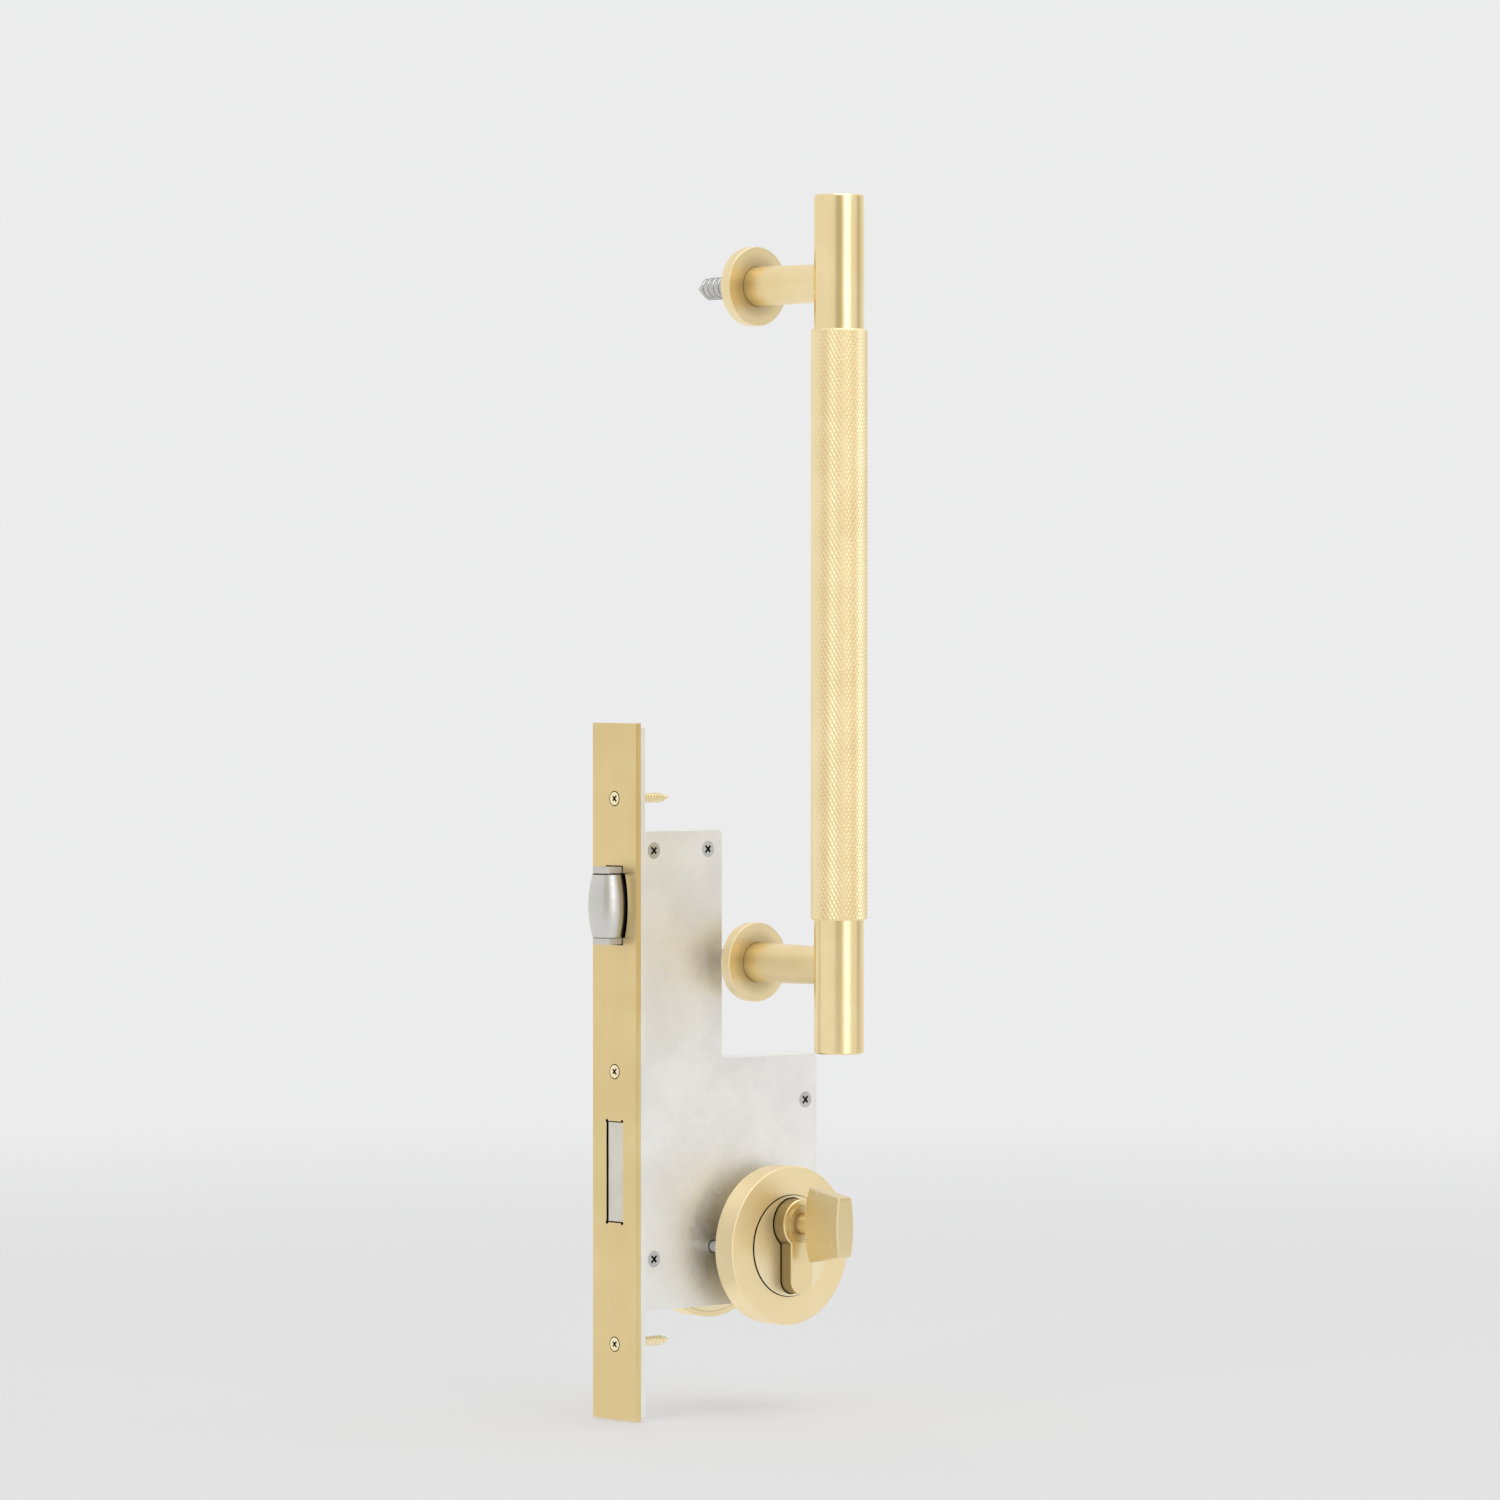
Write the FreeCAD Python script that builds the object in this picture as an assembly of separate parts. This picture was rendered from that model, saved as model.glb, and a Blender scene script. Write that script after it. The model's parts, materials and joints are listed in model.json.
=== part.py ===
import FreeCAD, Part
import math
import os

from FreeCAD import Vector

# Fits between pieces
seat_play = 0.05
running_play = 0.06
slide_play = 0.25
shell_play = 0.3

# Door that the set is made for: inner face at Y = 0, door edge towards -X
door_thickness = 32.0
backset = 60.0

# Pull handle
handle_x = -11.3
handle_projection = 45.0
lower_post_z = 90.8
post_from_grip = 16.0
bar_overhang = 29.8
bar_radius = 8.6
bar_end_chamfer = 0.5
grip_length = 202.0
grip_radius = 9.7
grip_end_chamfer = 0.6
spigot_radius = 6.0
spigot_length = 14.0
tie_rod_radius = 4.0
tie_rod_grip = 11.0
post_root_radius = 7.0
post_tip_radius = 6.4
post_screw_radius = 3.0
post_screw_in_post = 10.0
post_screw_in_bar = 6.5
rose_radius = 13.7
rose_thickness = 4.0
rose_edge_round = 0.35
door_stud_radius = 4.0
door_stud_thread_radius = 3.3
door_stud_in_post = 13.0
door_stud_in_door = 26.0
door_stud_point = 5.0

# Round escutcheons over the cylinder, one on each face of the door
escutcheon_thickness = 8.5
escutcheon_edge_round = 0.35
escutcheon_wall = 1.8
escutcheon_front = 2.0
disc_cover = 1.0
disc_proud = 0.5
base_flange_thickness = 3.0
base_flange_play = 0.1
base_pocket_floor = 3.0
base_pocket_wall = 2.4
base_cutout_wall = 1.9
rose_bolt_radius = 2.0
rose_bolt_head_gap = 0.75
rose_bolt_head_radius = 3.4
rose_bolt_head_height = 2.2
rose_bolt_end_gap = 0.5

# Profile cylinder
cylinder_length = 61.0
profile_head_radius = 8.5
profile_leg_width = 10.0
profile_height = 33.0
profile_edge_chamfer = 0.3
cutout_play = 0.4
plug_radius = 6.5
cam_gap_width = 10.8
cam_gap_floor = 7.0
cam_hub_radius = 8.2
cam_hub_width = 8.0
cam_bit_reach = 15.2
cam_bit_root = 8.0
cam_bit_tip = 5.2
cam_bit_round = 1.2
cam_bit_sunk = 1.6
journal_radius = 4.6
journal_flats = 7.6
clip_thickness = 0.7
clip_groove_depth = 0.6
clip_overlap = 0.5
clip_opening = 70.0
plug_beyond_clip = 0.3
cylinder_screw_radius = 2.5
cylinder_screw_head_radius = 4.5
cylinder_screw_above_foot = 4.5
cylinder_screw_end_gap = 1.0
pin_pitch = 3.9
pin_inset = 4.6
pin_radius = 1.45
pin_roof = 2.6
key_pin_shortest = 4.6
key_pin_step = 0.5
key_pin_cuts = (0, 3, 1, 4, 2)
key_pin_nose = 0.9
key_pin_tip_radius = 0.5
driver_pin_length = 7.0
chamber_plug_length = 1.5
chamber_plug_inset = 0.3
pin_spring_wire = 0.22
pin_spring_turns = 4
pin_spring_sides = 6
keyway_width = 2.2
keyway_jog = 0.5
keyway_top = 3.4
keyway_floor = 1.5

# Thumb turn
spindle_proud = 0.8
knob_collar_radius = 3.4
knob_collar_length = 1.2
knob_neck_radius = 3.9
knob_neck_length = 3.0
knob_depth = 16.7
knob_rear_bow = 0.8
knob_height = 26.0
knob_nose_height = 20.6
knob_thickness = 8.0
knob_end_thickness = 4.6
knob_corner_round = 1.2
knob_edge_round = 0.5
knob_spigot_radius = 2.2
knob_spigot_length = 11.0
knob_pin_radius = 0.8
knob_pin_beyond = 0.6

# Faceplate and forend on the door's edge
faceplate_end_margin = 26.0
faceplate_width = 23.0
faceplate_thickness = 2.0
faceplate_edge_chamfer = 0.3
forend_end_step = 1.5
forend_width = 21.6
forend_thickness = 2.5
plate_screw_from_case = 11.5
plate_screw_radius = 1.5
plate_screw_thread_radius = 1.3
plate_screw_head_radius = 2.3
plate_screw_head_play = 0.4
plate_screw_length = 25.0
centre_screw_length = 5.6
screw_point_part = 0.2

# Cross recess of a screw, as parts of its head's radius
recess_arm_part = 0.62
recess_half_width_part = 0.15
recess_depth_part = 0.55

# Lock case
case_under_cylinder = 3.6
case_width = 16.4
case_step_z = 57.0
case_wall = 1.2
case_corner_radius = 1.6
case_relief = 0.8
case_rear_gap = 1.0
case_post_inset = 6.45
case_tab_width = 7.0
case_post_radius = 3.0
cover_screw_radius = 1.5
cover_screw_head_radius = 2.8
cover_screw_length = 7.0
cover_screw_end_gap = 0.5
rivet_tail_radius = 1.75

# Deadbolt
bolt_throw = 16.0
bolt_height = 34.6
bolt_thickness = 7.8
bolt_set_back = 0.45
deadbolt_length = 27.5
bolt_centre_z = 19.4
bolt_nose_round = 0.4
bolt_slot_side_play = 0.35
bolt_slot_end_play = 0.2
bolt_slot_relief = 0.65
tail_thickness = 3.5
tail_lift = 0.9
tail_top_z = 33.0
tail_tongue = 12.0
tail_corner_round = 2.0
tail_rivet_radius = 2.0
tail_rivet_spacing = 14.0
guide_radius = 2.5
guide_collar_radius = 4.2
guide_first_x = -19.0
guide_pitch = 23.0
guide_z = 25.0
guide_play = 0.15
tail_end_margin = 2.6
cam_drive_radius = 13.0
cam_notch_mouth = 12.4
cam_notch_throat = 7.6
cam_notch_shoulder_z = 12.0
cam_notch_roof_z = 15.9
detent_depth = 1.6
detent_x = -3.0
leaf_thickness = 0.5
leaf_width = 6.0
leaf_post_z = 41.0
leaf_post_inset = 5.3
leaf_hook_turn = 150.0
leaf_slope = 50.0
leaf_nose_round = 0.9
leaf_rest_gap = 0.3
leaf_lead_part = 0.9

# Roller latch
roller_z = 111.3
roller_proud = 3.2
roller_end_radius = 5.1
roller_mid_radius = 6.6
roller_length = 21.8
roller_side_play = 0.2
roller_pin_radius = 2.0
roller_travel = 8.0
ear_thickness = 2.2
ear_width = 8.2
ear_radius = 5.0
carriage_block_width = 11.5
carriage_block_length = 8.0
carriage_shoulder = 2.2
roller_slot_play = 0.4
stem_radius = 2.8
stem_overrun = 1.0
latch_spring_wire = 1.1
latch_spring_radius = 4.3
latch_spring_turns = 7
latch_spring_reserve = 2.3
latch_spring_sides = 8
bracket_thickness = 1.5
bracket_height = 24.0
bracket_foot = 9.0

# Planes and stations that follow from the sizes
post_spacing = grip_length + 2 * post_from_grip
bar_length = post_spacing + 2 * bar_overhang
handle_centre_z = lower_post_z + post_spacing / 2
lock_y = door_thickness / 2
front_x = -backset
forend_front_x = front_x + faceplate_thickness
case_front_x = forend_front_x + forend_thickness
case_near_y = lock_y - case_width / 2
case_far_y = lock_y + case_width / 2
inner_near_y = case_near_y + case_wall
inner_far_y = case_far_y - case_wall
cylinder_near_y = lock_y - cylinder_length / 2
cylinder_far_y = lock_y + cylinder_length / 2
cam_near_y = lock_y - cam_gap_width / 2
cam_far_y = lock_y + cam_gap_width / 2
outer_half_length = cylinder_far_y - cam_far_y
pin_count = int((outer_half_length - 2 * pin_inset) / pin_pitch) + 1
escutcheon_drop = profile_height / 2 - profile_head_radius
disc_radius = profile_height / 2 + disc_cover
rose_bolt_circle = disc_radius + rose_bolt_head_gap + rose_bolt_head_radius
escutcheon_radius = rose_bolt_circle + rose_bolt_head_radius + rose_bolt_head_gap + escutcheon_wall
leg_radius = profile_leg_width / 2
leg_low_z = profile_head_radius - profile_height
leg_centre_z = leg_low_z + leg_radius
cylinder_screw_z = leg_low_z + cylinder_screw_above_foot
pin_half = roller_length / 2 + roller_side_play + ear_thickness
case_low_z = leg_low_z - cutout_play - case_under_cylinder
case_post_high_z = roller_z + pin_half + carriage_shoulder + slide_play + case_post_radius
case_high_z = case_post_high_z + case_post_inset
faceplate_centre_z = (case_low_z + case_high_z) / 2
plate_screw_spacing = case_high_z - faceplate_centre_z + plate_screw_from_case
faceplate_length = 2 * (plate_screw_spacing + faceplate_end_margin)
forend_length = faceplate_length - 2 * forend_end_step
tail_low_z = profile_head_radius + tail_lift
guide_slot_end = guide_radius + guide_play
tail_end_x = guide_first_x + guide_pitch + guide_slot_end + bolt_throw + tail_end_margin
case_rear_x = tail_end_x + case_rear_gap + case_wall
half_sweep = math.degrees(math.asin(bolt_throw / 2 / cam_drive_radius))
roller_x = front_x - roller_proud
knob_face_y = cylinder_near_y - spindle_proud
paddle_near_y = knob_face_y - knob_collar_length - knob_neck_length
paddle_nose_y = paddle_near_y - knob_depth
leaf_post_x = case_rear_x - leaf_post_inset
fork_rear_x = case_front_x + carriage_block_length
latch_spring_length = latch_spring_turns * latch_spring_wire + roller_travel + latch_spring_reserve
bracket_x = fork_rear_x + latch_spring_length
stem_end_x = bracket_x + bracket_thickness + stem_overrun
case_step_x = stem_end_x + roller_travel + shell_play + case_wall

along_x = Vector(1, 0, 0)
along_y = Vector(0, 1, 0)
along_z = Vector(0, 0, 1)


def rod(radius, start, end):
    run = end - start
    return Part.makeCylinder(radius, run.Length, start, run)


def cone(start_radius, end_radius, start, end):
    run = end - start
    return Part.makeCone(start_radius, end_radius, run.Length, start, run)


def block(x_span, y_span, z_span):
    size = [abs(span[1] - span[0]) for span in (x_span, y_span, z_span)]
    corner = Vector(min(x_span), min(y_span), min(z_span))
    return Part.makeBox(size[0], size[1], size[2], corner)


def around(centre, half):
    return (centre - half, centre + half)


def turned(profile, origin, axis):
    """Solid of revolution; profile holds (distance along the axis, radius) points."""
    points = [Vector(radius, 0, run) for run, radius in profile]
    face = Part.Face(Part.makePolygon(points + [points[0]]))
    solid = face.revolve(Vector(0, 0, 0), along_z, 360)
    solid.Placement = FreeCAD.Placement(origin, FreeCAD.Rotation(along_z, axis))
    return solid


def plate_xz(points, y_span):
    """Flat plate with an outline of (x, z) points."""
    outline = [Vector(x, min(y_span), z) for x, z in points]
    face = Part.Face(Part.makePolygon(outline + [outline[0]]))
    return face.extrude(Vector(0, abs(y_span[1] - y_span[0]), 0))


def edges_where(shape, test):
    return [edge for edge in shape.Edges if test(edge)]


def edge_on_plane(edge, axis, value):
    return all(abs(getattr(vertex.Point, axis) - value) < 1e-4 for vertex in edge.Vertexes)


def circles_on(shape, axis, value, radius):
    """Circles of one radius that lie on a plane square to an axis."""
    return edges_where(
        shape,
        lambda edge: isinstance(edge.Curve, Part.Circle)
        and edge_on_plane(edge, axis, value)
        and abs(edge.Curve.Radius - radius) < 1e-4,
    )


def edge_along(edge, direction):
    if not isinstance(edge.Curve, Part.Line):
        return False
    return abs(abs(edge.Curve.Direction.dot(direction)) - 1) < 1e-6


def fused(first, *others):
    return first.multiFuse(list(others)).removeSplitter()


def group(shapes):
    return Part.makeCompound(shapes)


def euro_profile(offset, y_span):
    """Round head over a narrower round-ended leg, grown all round by an offset."""
    near = min(y_span)
    far = max(y_span)
    head = rod(profile_head_radius + offset, Vector(0, near, 0), Vector(0, far, 0))
    leg = block(around(0, leg_radius + offset), y_span, (leg_centre_z, 0))
    foot = rod(leg_radius + offset, Vector(0, near, leg_centre_z), Vector(0, far, leg_centre_z))
    return fused(head, leg, foot)


def coil_spring(coil_radius, wire_radius, sides, length, turns, start, axis):
    """Helical wire that touches the planes at both ends of its length."""
    rise = length - 2 * wire_radius
    helix = Part.makeHelix(rise / turns, rise, coil_radius)
    corners = [
        Vector(
            coil_radius + wire_radius * math.cos(2 * math.pi * step / sides),
            0,
            wire_radius * math.sin(2 * math.pi * step / sides),
        )
        for step in range(sides)
    ]
    section = Part.makePolygon(corners + [corners[0]])
    spring = helix.makePipeShell([section], True, True)
    spring.translate(Vector(0, 0, wire_radius))
    spring.Placement = FreeCAD.Placement(start, FreeCAD.Rotation(along_z, axis)).multiply(
        spring.Placement
    )
    return spring


def countersunk_screw(shank_radius, head_radius, length, origin, axis):
    """Flat head at the origin and a plain shank along the axis."""
    profile = [(0, 0), (0, head_radius), (head_radius - shank_radius, shank_radius)]
    profile += [(length, shank_radius), (length, 0)]
    return turned(profile, origin, axis)


def wood_screw(head_radius, shank_radius, shank_end, thread_radius, length, origin, axis):
    """Countersunk screw whose thread is slimmer than its shank and ends in a point."""
    profile = [(0, 0), (0, head_radius), (head_radius - shank_radius, shank_radius)]
    profile += [(shank_end, shank_radius), (shank_end, thread_radius)]
    profile += [(length - 3 * thread_radius, thread_radius)]
    profile += [(length, thread_radius * screw_point_part), (length, 0)]
    return turned(profile, origin, axis)


def countersunk_hole(shank_radius, head_radius, length, origin, axis, head_play=seat_play):
    head_height = head_radius - shank_radius
    wide = head_radius + head_play
    narrow = shank_radius + seat_play
    return turned([(0, 0), (0, wide), (head_height, narrow), (length, narrow), (length, 0)], origin, axis)


def cross_recess(head_radius, origin, axis):
    """Tapered cross that a driver fits, sunk along the axis."""
    arm = head_radius * recess_arm_part
    half_width = head_radius * recess_half_width_part
    depth = head_radius * recess_depth_part
    wings = []
    for turn in (45, 135):
        wing = Part.makeWedge(
            -arm, 0, -half_width, -half_width, -arm / 3, arm, depth, half_width, half_width, arm / 3
        )
        wing.rotate(Vector(0, 0, 0), along_y, turn)
        wings.append(wing)
    recess = wings[0].fuse(wings[1])
    recess.Placement = FreeCAD.Placement(origin, FreeCAD.Rotation(along_y, axis)).multiply(
        recess.Placement
    )
    return recess


def handle_stations():
    """The two posts: name, height of the post, and which way is outwards along the bar."""
    half = post_spacing / 2
    return (("upper", handle_centre_z + half, 1), ("lower", handle_centre_z - half, -1))


def make_handle():
    nodes = {}
    axis_point = Vector(handle_x, -handle_projection, handle_centre_z)
    grip_profile = [
        (-grip_length / 2, spigot_radius + seat_play),
        (-grip_length / 2, grip_radius - grip_end_chamfer),
        (-grip_length / 2 + grip_end_chamfer, grip_radius),
        (grip_length / 2 - grip_end_chamfer, grip_radius),
        (grip_length / 2, grip_radius - grip_end_chamfer),
        (grip_length / 2, spigot_radius + seat_play),
    ]
    nodes["grip_tube"] = turned(grip_profile, axis_point, along_z)

    rod_half = grip_length / 2 - spigot_length + tie_rod_grip
    rod_start = axis_point - along_z * rod_half
    rod_end = axis_point + along_z * rod_half
    nodes["tie_rod"] = rod(tie_rod_radius, rod_start, rod_end)

    post_screws = []
    door_studs = []
    saddle_y = -handle_projection + bar_radius
    for name, post_z, outward in handle_stations():
        bar_profile = [
            (grip_length / 2 - spigot_length, 0),
            (grip_length / 2 - spigot_length, spigot_radius),
            (grip_length / 2, spigot_radius),
            (grip_length / 2, bar_radius),
            (bar_length / 2 - bar_end_chamfer, bar_radius),
            (bar_length / 2, bar_radius - bar_end_chamfer),
            (bar_length / 2, 0),
        ]
        end_bar = turned(bar_profile, axis_point, along_z * outward)
        rod_socket = rod(
            tie_rod_radius + seat_play,
            axis_point,
            axis_point + along_z * outward * (rod_half + seat_play),
        )
        screw_start = Vector(handle_x, saddle_y - post_screw_in_bar, post_z)
        screw_end = Vector(handle_x, saddle_y + post_screw_in_post, post_z)
        screw_room = rod(post_screw_radius + seat_play, screw_start, screw_end)
        nodes[name + "_end_bar"] = end_bar.cut(rod_socket).cut(screw_room)

        door_point = Vector(handle_x, 0, post_z)
        bar_point = Vector(handle_x, -handle_projection, post_z)
        post = cone(post_root_radius, post_tip_radius, door_point, bar_point)
        saddle = rod(
            bar_radius + seat_play / 2,
            bar_point - along_z * 2 * post_root_radius,
            bar_point + along_z * 2 * post_root_radius,
        )
        stud_end = door_point + Vector(0, -door_stud_in_post, 0)
        stud_socket = rod(door_stud_radius + seat_play, door_point, stud_end)
        nodes[name + "_post"] = post.cut(saddle).cut(screw_room).cut(stud_socket)

        rose_profile = [
            (0, post_root_radius + seat_play),
            (0, rose_radius),
            (rose_thickness, rose_radius),
            (rose_thickness, post_root_radius + seat_play),
        ]
        rose = turned(rose_profile, door_point, -along_y)
        rim = circles_on(rose, "y", -rose_thickness, rose_radius)
        nodes[name + "_rose"] = rose.makeFillet(rose_edge_round, rim)

        post_screws.append(rod(post_screw_radius, screw_start, screw_end))
        stud_profile = [
            (-door_stud_in_post + seat_play, 0),
            (-door_stud_in_post + seat_play, door_stud_radius),
            (0, door_stud_radius),
            (0, door_stud_thread_radius),
            (door_stud_in_door - door_stud_point, door_stud_thread_radius),
            (door_stud_in_door, door_stud_thread_radius * screw_point_part),
            (door_stud_in_door, 0),
        ]
        door_studs.append(turned(stud_profile, door_point, along_y))
    nodes["post_screws"] = group(post_screws)
    nodes["door_studs"] = group(door_studs)
    return nodes


def mirror_to_outside(shape):
    """The outer face of the door carries the same rose turned about."""
    return shape.mirror(Vector(0, lock_y, 0), along_y)


def rose_bolt_points(y):
    return [Vector(side * rose_bolt_circle, y, -escutcheon_drop) for side in (-1, 1)]


def make_escutcheons():
    centre = Vector(0, 0, -escutcheon_drop)
    front_y = -escutcheon_thickness
    disc_front_y = front_y - disc_proud
    flange_radius = escutcheon_radius - escutcheon_wall - base_flange_play
    flange = rod(flange_radius, centre, centre + Vector(0, -base_flange_thickness, 0))
    disc = rod(disc_radius, centre, centre + Vector(0, disc_front_y, 0))
    base = fused(flange, disc)
    pocket_end = centre + Vector(0, disc_front_y + base_pocket_floor, 0)
    pocket = rod(disc_radius - base_pocket_wall, centre, pocket_end)
    cutout_wall = euro_profile(cutout_play + base_cutout_wall, (disc_front_y, 1))
    base = base.cut(pocket.cut(cutout_wall))
    base = base.cut(euro_profile(cutout_play, (disc_front_y - 1, 1)))
    bolt_holes = [
        rod(rose_bolt_radius + seat_play, point, point + Vector(0, -base_flange_thickness, 0))
        for point in rose_bolt_points(0)
    ]
    base = base.cut(group(bolt_holes))

    ring_profile = [
        (0, escutcheon_radius - escutcheon_wall),
        (0, escutcheon_radius),
        (escutcheon_thickness, escutcheon_radius),
        (escutcheon_thickness, disc_radius + shell_play),
        (escutcheon_thickness - escutcheon_front, disc_radius + shell_play),
        (escutcheon_thickness - escutcheon_front, escutcheon_radius - escutcheon_wall),
    ]
    ring = turned(ring_profile, centre, -along_y)
    rim = circles_on(ring, "y", front_y, escutcheon_radius)
    ring = ring.makeFillet(escutcheon_edge_round, rim)

    head_y = -base_flange_thickness
    bolt_length = door_thickness + 2 * base_flange_thickness - rose_bolt_end_gap
    bolt_profile = [
        (-rose_bolt_head_height, 0),
        (-rose_bolt_head_height, rose_bolt_head_radius),
        (0, rose_bolt_head_radius),
        (0, rose_bolt_radius),
        (bolt_length, rose_bolt_radius),
        (bolt_length, 0),
    ]
    bolts = [turned(bolt_profile, point, along_y) for point in rose_bolt_points(head_y)]
    return {
        "inner_rose_base": base,
        "inner_rose_cover": ring,
        "outer_rose_base": mirror_to_outside(base),
        "outer_rose_cover": mirror_to_outside(ring),
        "rose_bolts": group(bolts),
    }


def pin_stations():
    last = cylinder_far_y - pin_inset
    return [last - index * pin_pitch for index in range(pin_count)]


def key_pin_length(index):
    return key_pin_shortest + key_pin_step * key_pin_cuts[index % len(key_pin_cuts)]


def make_cylinder_body():
    body = euro_profile(0, (cylinder_near_y, cylinder_far_y))
    rims = edges_where(
        body,
        lambda edge: edge_on_plane(edge, "y", cylinder_near_y) or edge_on_plane(edge, "y", cylinder_far_y),
    )
    body = body.makeChamfer(profile_edge_chamfer, rims)
    bore = rod(
        plug_radius + running_play,
        Vector(0, cylinder_near_y - 1, 0),
        Vector(0, cylinder_far_y + 1, 0),
    )
    gap = block(
        around(0, profile_head_radius * 2),
        (cam_near_y, cam_far_y),
        (-profile_head_radius - cam_gap_floor, profile_head_radius * 2),
    )
    screw_hole = rod(
        cylinder_screw_radius + seat_play,
        Vector(-profile_leg_width, lock_y, cylinder_screw_z),
        Vector(profile_leg_width, lock_y, cylinder_screw_z),
    )
    body = body.cut(bore).cut(gap).cut(screw_hole)
    chambers = [
        rod(pin_radius + seat_play, Vector(0, y, leg_low_z - 1), Vector(0, y, 0))
        for y in pin_stations()
    ]
    return body.cut(group(chambers))


def journal(radius, flats, y_span):
    """Round journal with two flats, which turns the cam."""
    round_part = rod(radius, Vector(0, min(y_span), 0), Vector(0, max(y_span), 0))
    flat_part = block(around(0, flats / 2), y_span, around(0, radius * 2))
    return round_part.common(flat_part)


def clip_ring(y_near):
    """Spring clip in its groove, bearing on the face round the bore."""
    inner = journal_radius - clip_groove_depth + seat_play
    outer = plug_radius + clip_overlap + running_play
    start = Vector(0, y_near, 0)
    end = Vector(0, y_near + clip_thickness, 0)
    ring = rod(outer, start, end).cut(rod(inner, start, end))
    depth = 2 * outer
    half_width = depth * math.tan(math.radians(clip_opening / 2))
    mouth = plate_xz([(0, 0), (-half_width, -depth), (half_width, -depth)], (start.y, end.y))
    return ring.cut(mouth)


def make_turn_parts():
    """Spindle, knob, cam, clutch and the clip that keeps them in the body."""
    clip_y = cam_near_y + seat_play
    groove_end = clip_y + clip_thickness + seat_play
    hub_y = around(lock_y, cam_hub_width / 2)
    spindle_end = lock_y
    spigot_tip = knob_face_y - knob_spigot_length
    main_profile = [
        (spigot_tip, 0),
        (spigot_tip, knob_spigot_radius),
        (knob_face_y, knob_spigot_radius),
        (knob_face_y, plug_radius),
        (cam_near_y, plug_radius),
        (cam_near_y, journal_radius - clip_groove_depth),
        (groove_end, journal_radius - clip_groove_depth),
        (groove_end, journal_radius),
        (hub_y[0], journal_radius),
        (hub_y[0], 0),
    ]
    spindle = turned(main_profile, Vector(0, 0, 0), along_y)
    drive = journal(journal_radius, journal_flats, (hub_y[0] - 0.05, spindle_end))
    spindle = fused(spindle, drive)

    coupler = journal(journal_radius, journal_flats, (lock_y + slide_play, hub_y[1] - slide_play))

    bit_foot = cam_hub_radius - cam_bit_sunk
    bit_profile = [
        (-cam_bit_root / 2, bit_foot),
        (-cam_bit_tip / 2, cam_bit_reach),
        (cam_bit_tip / 2, cam_bit_reach),
        (cam_bit_root / 2, bit_foot),
    ]
    bit = plate_xz(bit_profile, hub_y)
    tips = edges_where(
        bit, lambda edge: edge_along(edge, along_y) and edge_on_plane(edge, "z", cam_bit_reach)
    )
    bit = bit.makeFillet(cam_bit_round, tips)
    hub = rod(cam_hub_radius, Vector(0, hub_y[0], 0), Vector(0, hub_y[1], 0))
    cam = fused(hub, bit)
    cam_bore = journal(
        journal_radius + seat_play, journal_flats + 2 * seat_play, (hub_y[0] - 1, hub_y[1] + 1)
    )
    cam = cam.cut(cam_bore)

    pin_y = knob_face_y - knob_collar_length - knob_neck_length / 2
    pin_low = Vector(0, pin_y, -knob_neck_radius)
    pin_high = Vector(0, pin_y, knob_spigot_radius + knob_pin_beyond)
    neck = rod(knob_neck_radius, Vector(0, paddle_near_y, 0), Vector(0, knob_face_y, 0))
    knob_pin = rod(knob_pin_radius, pin_low, pin_high).common(neck)
    pin_room = rod(knob_pin_radius + seat_play, pin_low - along_z, pin_high)
    spindle = spindle.cut(pin_room)

    parts = {
        "turn_spindle": spindle,
        "cam": cam,
        "clutch_coupler": coupler,
        "spindle_clip": clip_ring(clip_y),
    }
    for shape in parts.values():
        shape.rotate(Vector(0, 0, 0), along_y, half_sweep)
    parts["turn_spindle"] = parts["turn_spindle"].cut(pin_room)
    parts["turn_knob"] = make_knob().cut(pin_room)
    parts["knob_pin"] = knob_pin
    return parts


def make_knob():
    """Paddle with a bowed rear edge, thickest at its middle height, on a round neck."""
    half = knob_height / 2
    nose = knob_nose_height / 2
    rear_end_y = paddle_near_y - knob_rear_bow
    corners = [
        Vector(0, rear_end_y, -half),
        Vector(0, rear_end_y, half),
        Vector(0, paddle_nose_y, nose),
        Vector(0, paddle_nose_y, -nose),
    ]
    edges = [
        Part.Arc(corners[0], Vector(0, paddle_near_y, 0), corners[1]).toShape(),
        Part.LineSegment(corners[1], corners[2]).toShape(),
        Part.LineSegment(corners[2], corners[3]).toShape(),
        Part.LineSegment(corners[3], corners[0]).toShape(),
    ]
    paddle = Part.Face(Part.Wire(edges)).extrude(along_x * knob_thickness)
    paddle.translate(along_x * -knob_thickness / 2)
    nose_corners = edges_where(
        paddle, lambda edge: edge_along(edge, along_x) and edge_on_plane(edge, "y", paddle_nose_y)
    )
    paddle = paddle.makeFillet(knob_corner_round, nose_corners)
    bulge = (knob_thickness - knob_end_thickness) / 2
    cheek_radius = (half**2 + bulge**2) / (2 * bulge)
    for x in around(0, cheek_radius - knob_thickness / 2):
        start = Vector(x, paddle_near_y + 1, 0)
        end = Vector(x, paddle_nose_y - 1, 0)
        paddle = paddle.common(rod(cheek_radius, start, end))
    paddle = paddle.makeFillet(knob_edge_round, paddle.Edges)
    neck_profile = [
        (-knob_face_y, 0),
        (-knob_face_y, knob_collar_radius),
        (-knob_face_y + knob_collar_length, knob_collar_radius),
        (-knob_face_y + knob_collar_length, knob_neck_radius),
        (-paddle_near_y + knob_rear_bow, knob_neck_radius),
        (-paddle_near_y + knob_rear_bow, 0),
    ]
    neck = turned(neck_profile, Vector(0, 0, 0), -along_y)
    knob = fused(paddle, neck)
    socket = rod(
        knob_spigot_radius + seat_play,
        Vector(0, knob_face_y + 1, 0),
        Vector(0, knob_face_y - knob_spigot_length - seat_play, 0),
    )
    return knob.cut(socket)


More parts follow.
